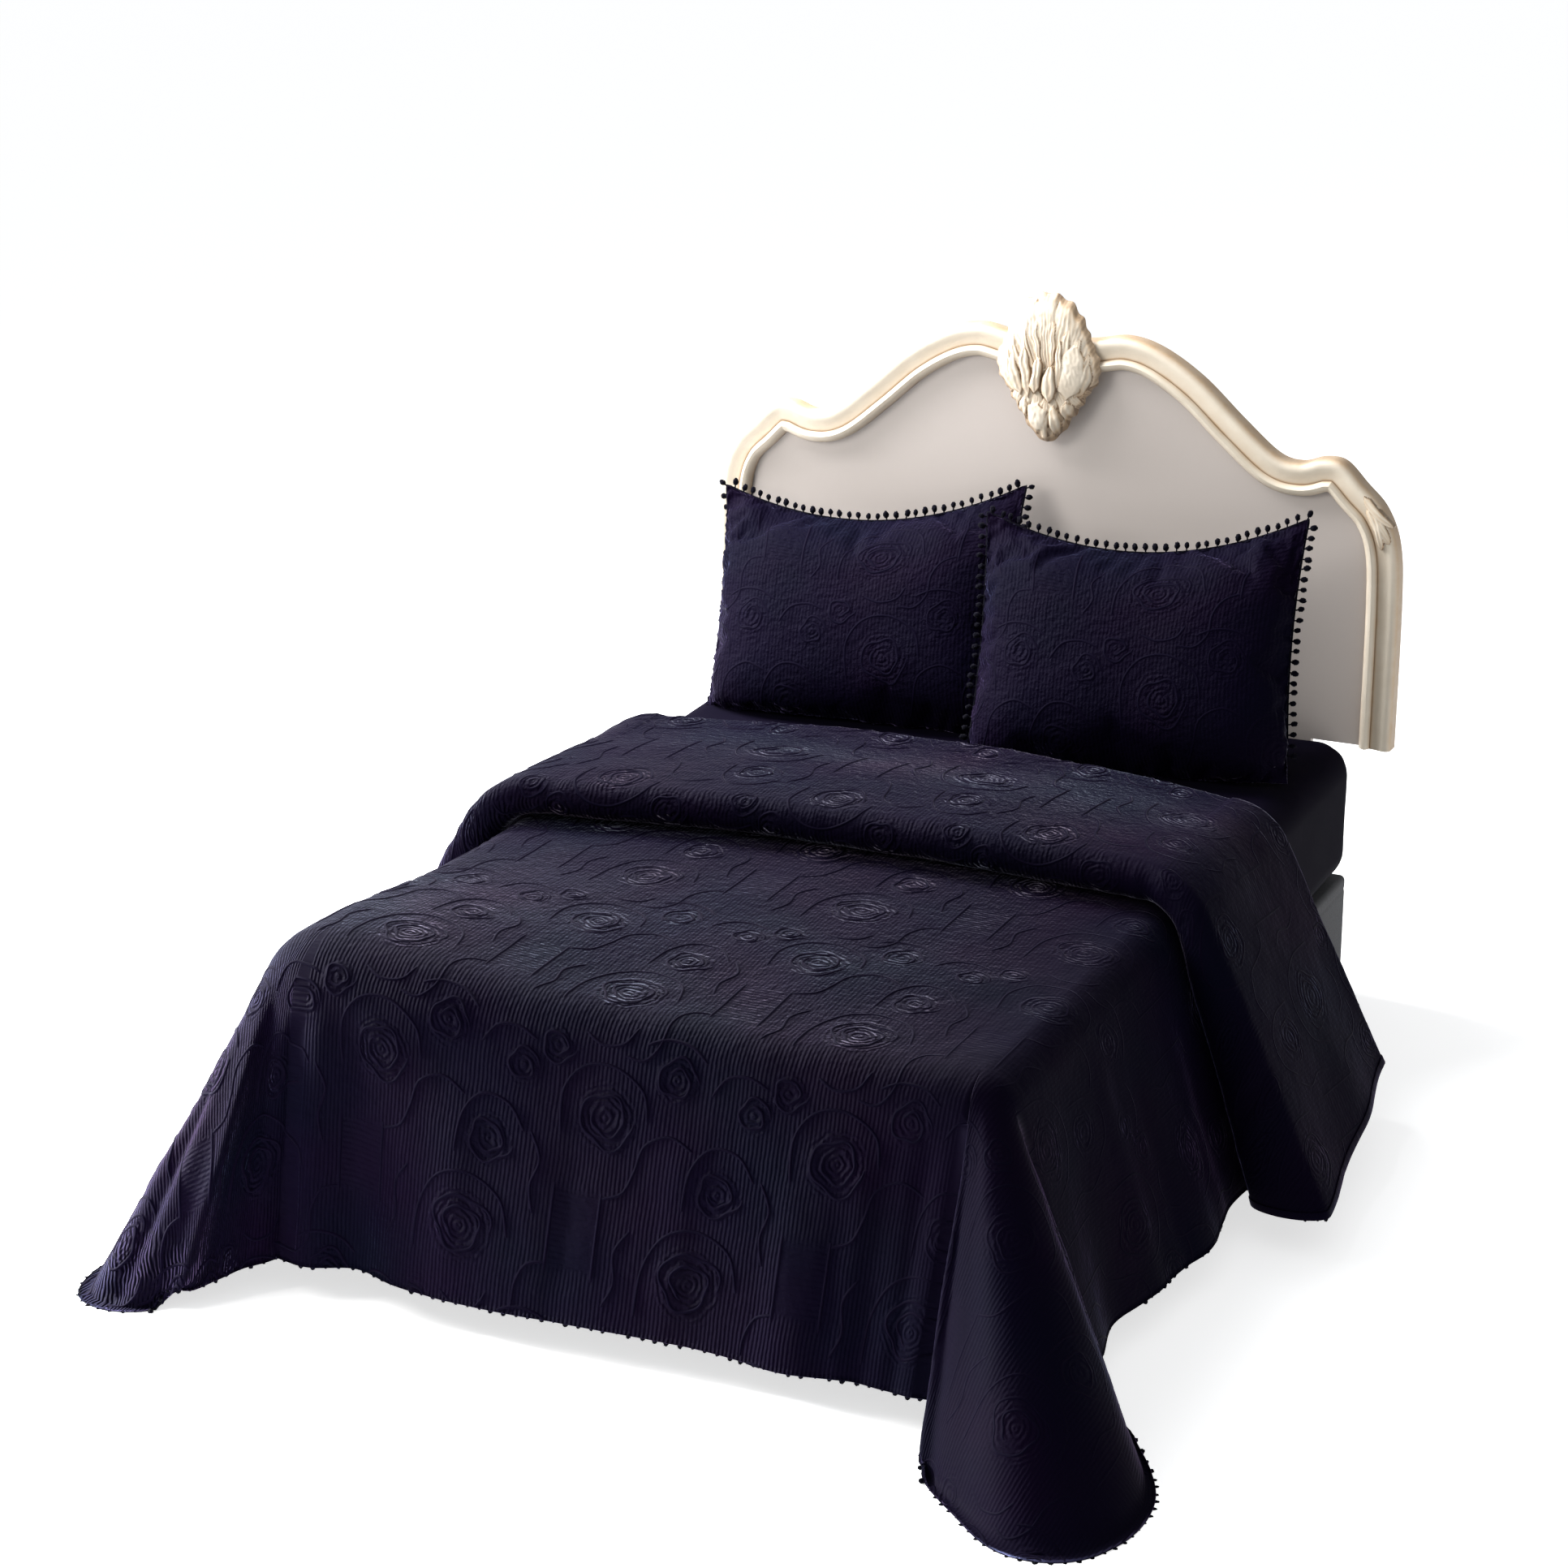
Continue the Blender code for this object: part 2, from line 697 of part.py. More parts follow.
def sham_trim_path(spec):
    """Up the left side, along the top and down the right side, outside the sham's edge."""
    places = []
    side_rows = [edge_spaced(j, SHAM_ROWS) for j in range(SHAM_TRIM_ROW, SHAM_ROWS)]
    places += [(-1.0, v, (-1, 0)) for v in side_rows]
    places.append((-1.0, 1.0, (-1, 1)))
    places += [(edge_spaced(i, SHAM_COLUMNS), 1.0, (0, 1)) for i in range(1, SHAM_COLUMNS)]
    places.append((1.0, 1.0, (1, 1)))
    places += [(1.0, v, (1, 0)) for v in reversed(side_rows)]
    middle = Vector((0, 0, SHAM_HEIGHT / 2))
    path = []
    for u, v, (out_x, out_z) in places:
        front = sham_place(sham_point(u, v, -1), spec)
        back = sham_place(sham_point(u, v, 1), spec)
        away = (sham_place(middle + Vector((out_x, 0, out_z)), spec) - sham_place(middle, spec)).normalized()
        normal = (front - back).normalized()
        turned = math.radians(spec[7]) * ease((1.0 - v) / SIDE_TURN_EASE) * (out_x < 0)
        out = away * math.cos(turned) - normal * math.sin(turned)
        path.append(((front + back) / 2, out, normal * math.cos(turned) + away * math.sin(turned)))
    return path


def rounded_box(name, low, high, bevel, segments, look):
    bm = bmesh.new()
    bmesh.ops.create_cube(bm, size=1.0)
    size = Vector(high) - Vector(low)
    middle = (Vector(high) + Vector(low)) / 2
    for vert in bm.verts:
        vert.co = Vector(vert.co[k] * size[k] for k in range(3)) + middle
    item = add_object(name, finish_mesh(bm, name), look)
    if bevel:
        soften = item.modifiers.new("soft_edges", "BEVEL")
        soften.width = bevel
        soften.segments = segments
        soften.limit_method = "NONE"
    return item


def build_bed(sheet, base):
    half = BED_WIDTH / 2 - BASE_INSET
    end = BED_LENGTH / 2 - BASE_INSET
    rounded_box("bed_base", (-half, -end, 0), (half, end, BASE_HEIGHT), BASE_BEVEL, 1, base)
    low = (-CORNER_X, FOOT_Y, BASE_HEIGHT + SEAT_GAP)
    high = (CORNER_X, HEAD_Y, MATTRESS_TOP)
    rounded_box("mattress_in_fitted_sheet", low, high, MATTRESS_EDGE, MATTRESS_EDGE_STEPS, sheet)


def board_edge():
    """The right half of the board's outer edge as evenly read points, and the ways in from it."""
    count = (len(BOARD_EDGE) - 1) * FRAME_STEPS
    points = [smooth_table(BOARD_EDGE, k / count) for k in range(count + 1)]
    ways = []
    for k, point in enumerate(points):
        along = points[min(k + 1, count)] - points[max(k - 1, 0)]
        ways.append(Vector((-along.y, along.x)).normalized())
    ways[0] = Vector((0.0, -1.0))
    ways[-1] = Vector((-1.0, 0.0))
    centre = Vector(BOARD_CENTRE)
    inward = [way if way.dot(centre - point) > 0 else -way for way, point in zip(ways, points)]
    return points, inward


def build_frame_half(side, look):
    """Half of the moulded frame, from its seat beside the crest's block to the foot of the stile."""
    name = "headboard_frame_right" if side > 0 else "headboard_frame_left"
    points, ways = board_edge()
    seat_x = CREST_SIDE * CREST_BLOCK + SEAT_GAP * 2
    first = next(k for k, p in enumerate(points) if p.x > seat_x)
    bm = bmesh.new()
    rings = []
    for point, way in zip(points[first - 1:], ways[first - 1:]):
        ring = []
        for inset, height in FRAME_PROFILE:
            flat = point + way * inset
            flat.x = max(flat.x, seat_x)
            ring.append(bm.verts.new((side * flat.x, BOARD_BACK_Y - height, flat.y)))
        rings.append(ring)
    for ring, following in zip(rings, rings[1:]):
        for k in range(len(ring)):
            j = (k + 1) % len(ring)
            bm.faces.new((ring[k], ring[j], following[j], following[k]))
    bm.faces.new(rings[0])
    bm.faces.new(rings[-1][::-1])
    add_object(name, finish_mesh(bm, name), look)


def build_panel(look):
    """The flat panel in the frame's rebate, with a tongue that reaches down behind the mattress."""
    points, ways = board_edge()
    right = [point + way * PANEL_INSET for point, way in zip(points, ways)]
    right += [Vector((TONGUE_X, right[-1].y)), Vector((TONGUE_X, TONGUE_Z))]
    outline = [Vector((-p.x, p.y)) for p in right[:0:-1]] + right
    bm = bmesh.new()
    faces = []
    for y in (PANEL_FRONT_Y, PANEL_BACK_Y):
        faces.append([bm.verts.new((p.x, y, p.y)) for p in outline])
    bm.faces.new(faces[0])
    bm.faces.new(faces[1][::-1])
    for k in range(len(outline)):
        j = (k + 1) % len(outline)
        bm.faces.new((faces[0][k], faces[0][j], faces[1][j], faces[1][k]))
    add_object("headboard_panel", finish_mesh(bm, "headboard_panel"), look)


def crest_reach(turn):
    """The crest's outline: its reach at a turn from the top, the same on both sides."""
    turn = abs((turn + 180.0) % 360.0 - 180.0)
    for (low, reach), (high, following) in zip(CREST_EDGE, CREST_EDGE[1:]):
        if turn <= high:
            return reach + (following - reach) * (turn - low) / (high - low)
    return CREST_EDGE[-1][1]


def build_crest(look):
    """A carved leaf shield over the frame's joint, with a block behind it that sits on the panel."""
    face_y = BOARD_BACK_Y - FRAME_FACE - SEAT_GAP
    panel_y = PANEL_FRONT_Y - SEAT_GAP
    bm = bmesh.new()

    def ring(share, y_of):
        verts = []
        for k in range(CREST_POINTS):
            turn = 360.0 * k / CREST_POINTS
            reach = crest_reach(turn) * share
            angle = math.radians(turn)
            verts.append(bm.verts.new((
                reach * math.sin(angle), y_of(turn), CREST_MIDDLE_Z + reach * math.cos(angle),
            )))
        return verts

    def front(share, height):
        def y_of(turn):
            leaf = math.cos(math.radians(turn) * CREST_LEAVES)
            return face_y - CREST_THICK * height - CREST_RELIEF * leaf * 4 * share * (1 - share)
        return y_of

    rings = [ring(share, front(share, height)) for share, height in CREST_LEVELS]
    rings.append(ring(CREST_BLOCK, lambda turn: face_y))
    rings.append(ring(CREST_BLOCK, lambda turn: panel_y))
    for a, b in zip(rings, rings[1:]):
        for k in range(CREST_POINTS):
            j = (k + 1) % CREST_POINTS
            bm.faces.new((a[k], a[j], b[j], b[k]))
    bm.faces.new(rings[0])
    bm.faces.new(rings[-1][::-1])
    add_object("headboard_crest", finish_mesh(bm, "headboard_crest"), look)


def build_headboard(cream, panel, wood):
    for side in (-1, 1):
        build_frame_half(side, cream)
        name = "headboard_leg_right" if side > 0 else "headboard_leg_left"
        front = PANEL_BACK_Y + SEAT_GAP
        low = (side * LEG_X - LEG_WIDTH / 2, front, 0.0)
        high = (side * LEG_X + LEG_WIDTH / 2, front + LEG_THICK, LEG_TOP_Z)
        rounded_box(name, low, high, 0.0, 1, wood)
    build_panel(panel)
    build_crest(cream)


def main():
    clear_scene()
    cloth = material("quilted_navy_cloth", NAVY)
    yarn = material("navy_pompom_yarn", NAVY)
    sheet = material("navy_fitted_sheet", SHEET_NAVY)
    cream = material("cream_painted_wood", CREAM)
    panel = material("beige_grey_panel", PANEL_GREY)
    base = material("grey_base_fabric", BASE_GREY)
    wood = material("plain_wood", WOOD)
    build_bed(sheet, base)
    build_spread(cloth, yarn)
    for spec in SHAMS:
        build_sham(spec, cloth, yarn)
    build_headboard(cream, panel, wood)


main()
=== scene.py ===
"""Looks of a quilted bedspread set on a bed with a carved headboard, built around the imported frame."""

import math
import random
from collections import namedtuple

import bmesh
import bpy
import numpy as np
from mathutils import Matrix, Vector, noise
from mathutils.bvhtree import BVHTree


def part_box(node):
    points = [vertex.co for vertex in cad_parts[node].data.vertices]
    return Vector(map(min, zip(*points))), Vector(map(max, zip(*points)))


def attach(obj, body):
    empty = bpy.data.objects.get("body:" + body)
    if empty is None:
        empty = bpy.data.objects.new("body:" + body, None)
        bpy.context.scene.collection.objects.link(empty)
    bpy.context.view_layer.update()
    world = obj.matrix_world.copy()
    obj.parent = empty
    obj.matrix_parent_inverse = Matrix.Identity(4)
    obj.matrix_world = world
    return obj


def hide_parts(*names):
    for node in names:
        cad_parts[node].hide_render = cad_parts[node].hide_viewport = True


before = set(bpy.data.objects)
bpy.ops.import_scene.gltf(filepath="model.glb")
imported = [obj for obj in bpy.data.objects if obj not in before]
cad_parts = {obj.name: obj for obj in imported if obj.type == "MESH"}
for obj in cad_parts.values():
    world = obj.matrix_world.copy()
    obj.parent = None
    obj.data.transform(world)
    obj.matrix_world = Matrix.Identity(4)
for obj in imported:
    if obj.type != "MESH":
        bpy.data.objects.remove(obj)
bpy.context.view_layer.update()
MATTRESS_LOW, MATTRESS_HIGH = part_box("mattress_in_fitted_sheet")
BASE_LOW, BASE_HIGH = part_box("bed_base")

# Bed
CORNER_X = MATTRESS_HIGH.x
FOOT_Y = MATTRESS_LOW.y
HEAD_Y = MATTRESS_HIGH.y
MATTRESS_TOP = MATTRESS_HIGH.z
MATTRESS_EDGE = 0.07
SEAT_GAP = 0.0003

# Bedspread
CLOTH = 0.004
CLOTH_GAP = 0.004
SPREAD_Z = MATTRESS_TOP + CLOTH_GAP + CLOTH / 2
SPREAD_EDGE = MATTRESS_EDGE + CLOTH_GAP + CLOTH / 2
EDGE_X = CORNER_X - MATTRESS_EDGE
EDGE_Y = FOOT_Y + MATTRESS_EDGE
FLAT_CUT = (2.50, 2.70)
CROWN = 0.012
CROWN_EASE = 0.35
SEAT_EASE = 0.25
HEM_Z = 0.088
HEM_LIP = 0.022
SIDE_REACH = 0.145
FOOT_REACH = 0.150
FOOT_NARROWING = 0.045
FLOOR_BLEND = 0.075
BACK_Y = 0.380
BACK_RADIUS = 0.028
ROLL_Y = -0.100
ROLL_RADIUS = 0.038
TUCK_HEIGHT = 0.012
TUCK_END_Y = 0.060
TUCK_SWEEP = 0.8
FLAP_OPENING = 0.95
FLAP_FORWARD = -0.11
FLAP_RISE = 0.060
BACK_BOW = 0.10
BACK_BOW_FROM = 0.55
FRONT_BOW = 0.05
FRONT_BOW_FROM = 0.05
FRONT_BOW_LENGTH = 0.6
PUFF = 0.055
PUFF_WIDTH = 0.38

# How finely the cloth is drawn
ROUND_STEPS = 14
FALL_STEPS = 30
LIP_STEPS = 2
TOP_COLUMNS = 221
OPEN_ROWS = 90
HIDDEN_ROWS = 14
BACK_STEPS = 14
BAND_ROWS = 56
ROLL_STEPS = 16
FLARE_STEPS = 74
SKIRT_POINTS = ROUND_STEPS + FALL_STEPS + LIP_STEPS + 1

# Soft folds. Columns: place along the edge, width, reach beyond the plain skirt
RIGHT_FOLDS = (
    (-0.78, 0.20, -0.030),
    (-0.42, 0.22, 0.028),
    (-0.12, 0.20, 0.012),
    (0.22, 0.22, 0.018),
)
LEFT_FOLDS = (
    (-0.74, 0.20, -0.025),
    (-0.45, 0.22, 0.030),
    (-0.12, 0.18, 0.010),
    (0.20, 0.22, 0.020),
)
FOOT_FOLDS = (
    (-0.50, 0.14, -0.030),
    (-0.22, 0.30, 0.012),
    (0.16, 0.26, -0.008),
    (0.36, 0.14, 0.012),
    (0.50, 0.12, -0.012),
)

# Corner flares. Columns: turn about the mattress corner in degrees, 0 along the side and -90 along
# the foot; reach of the hem from that corner; height of the hem above the floor
RIGHT_FLARE = (
    (6.0, 0.125, 0.080),
    (-5.0, 0.185, 0.056),
    (-13.0, 0.255, 0.024),
    (-23.0, 0.335, 0.000),
    (-34.0, 0.410, 0.000),
    (-47.0, 0.480, 0.000),
    (-58.0, 0.505, 0.000),
    (-69.0, 0.470, 0.000),
    (-80.0, 0.365, 0.000),
    (-90.0, 0.300, 0.000),
    (-98.0, 0.262, 0.024),
    (-104.0, 0.205, 0.056),
    (-112.0, 0.130, 0.080),
)
LEFT_FLARE = (
    (6.0, 0.140, 0.080),
    (-4.0, 0.185, 0.062),
    (-14.0, 0.235, 0.032),
    (-26.0, 0.295, 0.000),
    (-38.0, 0.350, 0.000),
    (-50.0, 0.385, 0.000),
    (-61.0, 0.365, 0.000),
    (-70.0, 0.310, 0.000),
    (-77.0, 0.258, 0.036),
    (-85.0, 0.226, 0.064),
    (-97.0, 0.190, 0.078),
    (-112.0, 0.135, 0.080),
)

# The hem's turned edge. Columns: reach beyond the cloth's edge, depth under its face
HEM_TURN = 0.014
HEM_THICK = 0.0022
HEM_FOLDS = (
    (0.0006, HEM_THICK / 2),
    (0.0, HEM_THICK),
    (-HEM_TURN, HEM_THICK),
)
HEM_FLAT_SHARE = 0.1

# The braid and its pompoms
TAPE_DEEP = 0.0052
TAPE_THICK = 0.0032
TAPE_SIDES = 8
STEM_RADIUS = 0.0017
STEM_SIDES = 5
STEM_ROOT = 0.7
HANG_LEAN = 0.22
HANG_LENGTHS = (0.6, 1.15)
BALL_KINDS = 8
BALL_MOST = 1.1
BALL_LONG = 1.35
BALL_ROUGH = 0.16

# Pompoms. Columns: which edge, pitch, stem length, ball radius, how far the tape lies outside the
# cloth's edge, how far it lies behind the cloth's face, how unlike in size the pompoms are
TRIMS = {
    "hem": (0.024, 0.0008, 0.0046, -0.0092, 0.0055, 0.50),
    "sham": (0.0215, 0.0070, 0.0056, -0.0010, 0.0, 0.24),
}
FLOOR_CLEAR = 0.0004
HEM_TRIM_END_Y = -0.26
HEM_SEED = 11
FLAP_SEEDS = {"left": 21, "right": 22}

# Shams
SHAM_WIDTH = 0.680
SHAM_HEIGHT = 0.545
SHAM_FILL = 0.095
SHAM_RIM = 0.0045
SHAM_SAG = 0.144
SHAM_SAG_FROM = -0.2
SHAM_DRAW_SIDE = 0.044
SHAM_BEND = 0.035
SHAM_CROWN_POWER = 0.70
SHAM_BELLY = 0.21
SHAM_BELLY_LEVEL = 0.15
SHAM_PATTERN = 0.55
SHAM_PATTERN_WIDE = 0.47
SHAM_PATTERN_TALL = 0.46
SHAM_FACE_UP = 0.2
SHAM_CREASE_START = 0.2
SHAM_CREASE_END = 0.5
SHAM_PUFF_SIZE = 0.12
SHAM_PUFF_RAISE = 0.0035
SHAM_GATHER_PITCH = 0.020
SHAM_GATHER_RAISE = 0.0022
SHAM_GATHER_LENGTHEN = 0.04
SHAM_GATHER_FROM = 0.55
SHAM_GATHER_FADE = 0.4
SHAM_COLUMNS = 84
SHAM_ROWS = 68

# How each sham's cover is blown up by its filling. Columns of the settings: name, value
SWELL_FRAMES = 22
SWELL_PRESSURE = 3.5
SWELL_GROWTH = -0.070
SWELL_MOST = 0.011
SWELL_SETTINGS = (
    ("quality", 6),
    ("mass", 0.25),
    ("tension_stiffness", 18.0),
    ("compression_stiffness", 18.0),
    ("shear_stiffness", 8.0),
    ("bending_stiffness", 0.35),
    ("use_pressure", True),
    ("uniform_pressure_force", SWELL_PRESSURE),
    ("shrink_min", SWELL_GROWTH),
    ("vertex_group_mass", "seam"),
)

# Where each sham leans: angles in degrees, `turn` about Z, `roll` in its own plane, `sink` how far
# its bottom edge sinks into the bed, `side_turn` how far its left side's pompoms turn to the back
Sham = namedtuple("Sham", "name seed middle_x bottom_y lean turn roll sink side_turn")
SHAMS = (
    Sham("left", 3.1, -0.315, 0.700, 25.0, 2.5, -5.5, 0.034, 82.0),
    Sham("right", 8.6, 0.330, 0.600, 24.0, 4.0, -4.0, 0.006, 0.0),
)
SHAM_TRIM_FROM = -0.80
SHAM_TRIM_STEPS = 90
SIDE_TURN_EASE = 0.22

# Headboard
PANEL_THICK = 0.018
PANEL_FRONT_Y = HEAD_Y + SEAT_GAP
BOARD_BACK_Y = PANEL_FRONT_Y + PANEL_THICK + 0.002
FRAME_STEPS = 10
BOARD_CENTRE = (0.0, 0.9)
FRAME_FACE = 0.046
MOULDING_SHARP = 50.0

# Half of the board's outer edge, from the crest down the right side. Columns: x, z
BOARD_EDGE = (
    (0.000, 1.364),
    (0.090, 1.374),
    (0.165, 1.386),
    (0.240, 1.368),
    (0.330, 1.314),
    (0.422, 1.233),
    (0.500, 1.170),
    (0.552, 1.158),
    (0.600, 1.172),
    (0.645, 1.168),
    (0.692, 1.124),
    (0.738, 1.076),
    (0.768, 1.000),
    (0.777, 0.870),
    (0.777, 0.560),
)

# The frame's moulding. Columns: distance in from the outer edge, height above the board's back,
# how much brown glaze and painted shade sits there, the painted shade darkest in the groove, on the outer
# side and on the back
FRAME_PROFILE = (
    (0.000, 0.000, 1.4),
    (0.000, 0.024, 1.3),
    (0.001, 0.033, 1.1),
    (0.005, 0.0395, 0.4),
    (0.010, 0.0420, 0.0),
    (0.016, 0.0418, 0.0),
    (0.020, 0.0408, 0.0),
    (0.026, 0.0388, 0.1),
    (0.033, 0.0368, 0.2),
    (0.040, 0.0356, 0.3),
    (0.0435, 0.0350, 1.3),
    (0.0450, 0.0345, 2.0),
    (0.0465, 0.0375, 0.5),
    (0.0500, 0.0432, 0.0),
    (0.0545, FRAME_FACE, 0.0),
    (0.0590, 0.0445, 0.0),
    (0.0630, 0.0410, 0.1),
    (0.0665, 0.0365, 0.3),
    (0.0690, 0.0320, 0.5),
    (0.0700, 0.0260, 0.9),
    (0.0700, 0.0215, 1.0),
    (0.050, 0.0215, 1.0),
    (0.050, 0.000, 1.0),
)

# Crest: a carved leaf shield. Columns: angle from the top in degrees, reach from its middle
CREST_MIDDLE_Z = 1.312
CREST_SIDE = 0.118
CREST_EDGE = (
    (0.0, 0.163),
    (18.0, 0.154),
    (32.0, 0.138),
    (48.0, 0.122),
    (62.0, 0.115),
    (80.0, CREST_SIDE),
    (100.0, 0.116),
    (120.0, 0.106),
    (138.0, 0.112),
    (152.0, 0.122),
    (168.0, 0.150),
    (180.0, 0.168),
)
CREST_THICK = 0.034
CREST_GROUND = 0.50
CREST_BLOCK = 0.50
CREST_AROUND = 288
CREST_RINGS = 72

# Camera and light
CAMERA_TARGET = (-0.158, -0.015, 0.678)
CAMERA_AZIMUTH = 24.4
CAMERA_ELEVATION = 19.4
CAMERA_DISTANCE = 7.62
CAMERA_LENS = 89.4
ROOM_LIGHT = 0.42
FLOOR_GLOW = 0.66

# Lamps. Columns: name, place, aim, size, power, how wide they shine in degrees, colour
LIGHTS = (
    ("window", (-3.4, 0.88, 2.5), (0.0, -0.1, 0.5), 1.7, 400.0, 180.0, (0.97, 0.98, 1.0)),
    ("front_left", (-2.4, -1.9, 2.6), (0.3, 0.9, 0.9), 1.6, 102.0, 180.0, (1.0, 0.99, 0.97)),
    ("overhead", (-1.2, 0.55, 2.7), (-0.2, -0.3, 0.5), 1.4, 135.0, 180.0, (0.98, 0.98, 1.0)),
    ("low_left", (-3.0, -1.26, 1.1), (-1.05, -1.30, 0.15), 0.6, 56.0, 50.0, (0.97, 0.98, 1.0)),
)


def ease(t):
    t = min(max(t, 0.0), 1.0)
    return t * t * (3 - 2 * t)


def smooth_table(table, at):
    """Read a table's columns at the place `at` (0 to 1 along its rows) on a smooth curve."""
    rows = [Vector(row) for row in table]
    place = min(max(at, 0.0), 1.0) * (len(rows) - 1)
    low = min(int(place), len(rows) - 2)
    t = place - low
    before = rows[max(low - 1, 0)]
    after = rows[min(low + 2, len(rows) - 1)]
    start, end = rows[low], rows[low + 1]
    bend_in = (end - before) / 2
    bend_out = (after - start) / 2
    return (
        start * (2 * t**3 - 3 * t**2 + 1)
        + bend_in * (t**3 - 2 * t**2 + t)
        + end * (3 * t**2 - 2 * t**3)
        + bend_out * (t**3 - t**2)
    )


def add_piece(name, points, faces, look, flat=None):
    """A piece from its points and faces, with its flat-cut places as its UV map."""
    mesh = bpy.data.meshes.new(name)
    mesh.from_pydata([(p.x, p.y, max(p.z, 0.0)) for p in points], [], faces)
    if flat is not None:
        layer = mesh.uv_layers.new(name="cut")
        places = np.array([tuple(f) for f in flat], np.float32)
        corners = np.zeros(len(mesh.loops), np.int32)
        mesh.loops.foreach_get("vertex_index", corners)
        layer.data.foreach_set("uv", places[corners].ravel())
    mesh.validate()
    mesh.shade_smooth()
    if look:
        mesh.materials.append(look)
    item = bpy.data.objects.new(name, mesh)
    bpy.context.scene.collection.objects.link(item)
    return item


def set_attribute(item, name, values):
    layer = item.data.attributes.new(name, "FLOAT", "POINT")
    layer.data.foreach_set("value", np.array(values, np.float32))


class Cloth:
    """A sheet: its points, their places on the flat cut, and its faces."""

    def __init__(self):
        self.points = []
        self.flat = []
        self.faces = []

    def add(self, point, flat):
        self.points.append(Vector(point))
        self.flat.append(Vector(flat))
        return len(self.points) - 1

    def strip(self, first, second):
        """Join two lines of points with faces, with a triangle where they share a point."""
        for k in range(len(first) - 1):
            corners = [first[k], first[k + 1], second[k + 1], second[k]]
            if first[k] == second[k]:
                corners.pop()
            self.faces.append(corners)

    def normals(self):
        mesh = bpy.data.meshes.new("normals")
        mesh.from_pydata([tuple(p) for p in self.points], [], self.faces)
        found = np.zeros(len(self.points) * 3, np.float32)
        mesh.vertex_normals.foreach_get("vector", found)
        bpy.data.meshes.remove(mesh)
        return [Vector(n) for n in found.reshape(-1, 3)]

    def raise_by(self, height):
        """Move each point along its normal by height(point, flat, normal)."""
        for k, normal in enumerate(self.normals()):
            self.points[k] += normal * height(self.points[k], self.flat[k], normal)

    def finder(self):
        """A function from a place on the flat cut to the point and normal there, or None."""
        normals = self.normals()
        triangles = []
        for face in self.faces:
            triangles.append((face[0], face[1], face[2]))
            if len(face) == 4:
                triangles.append((face[0], face[2], face[3]))
        tree = BVHTree.FromPolygons([(f.x, f.y, 0.0) for f in self.flat], triangles)

        def find(u, v):
            index = tree.ray_cast(Vector((u, v, 1.0)), Vector((0, 0, -1)))[2]
            if index is None:
                return None
            a, b, c = triangles[index]
            ab = self.flat[b] - self.flat[a]
            ac = self.flat[c] - self.flat[a]
            at = Vector((u, v)) - self.flat[a]
            whole = ab.x * ac.y - ab.y * ac.x
            share_b = (at.x * ac.y - at.y * ac.x) / whole
            share_c = (ab.x * at.y - ab.y * at.x) / whole
            share_a = 1.0 - share_b - share_c
            point = self.points[a] * share_a + self.points[b] * share_b + self.points[c] * share_c
            normal = normals[a] * share_a + normals[b] * share_b + normals[c] * share_c
            return point, normal.normalized()

        return find


# The bedspread's shape

def fold_reach(folds, place):
    return sum(reach * math.exp(-(((place - at) / (width / 2)) ** 2)) for at, width, reach in folds)


def skirt_line(centre, hem, stand):
    """Points from the top's edge over its round edge and down to the hem, which lies flat on a floor."""
    radius = SPREAD_EDGE + stand
    flat = Vector((hem.x - centre.x, hem.y - centre.y, 0.0))
    outward = flat.normalized()
    drop = hem.z - centre.z
    distance = math.hypot(flat.length, drop)
    tangent_turn = math.atan2(flat.length, drop) - math.acos(radius / distance)
    points = []
    for step in range(ROUND_STEPS + 1):
        turn = tangent_turn * step / ROUND_STEPS
        points.append(centre + outward * radius * math.sin(turn) + Vector((0, 0, radius * math.cos(turn))))
    start = points[-1]
    for step in range(1, FALL_STEPS + 1):
        points.append(start.lerp(hem, step / FALL_STEPS))
    fall = (hem - start).normalized()
    on_floor = ease(1.0 - (hem.z - CLOTH / 2) / FLOOR_BLEND)
    lip = fall.lerp(outward, on_floor).normalized() * HEM_LIP / LIP_STEPS
    for _ in range(LIP_STEPS):
        points.append(points[-1] + lip)
        points[-1].z = max(points[-1].z, CLOTH / 2)
    return points


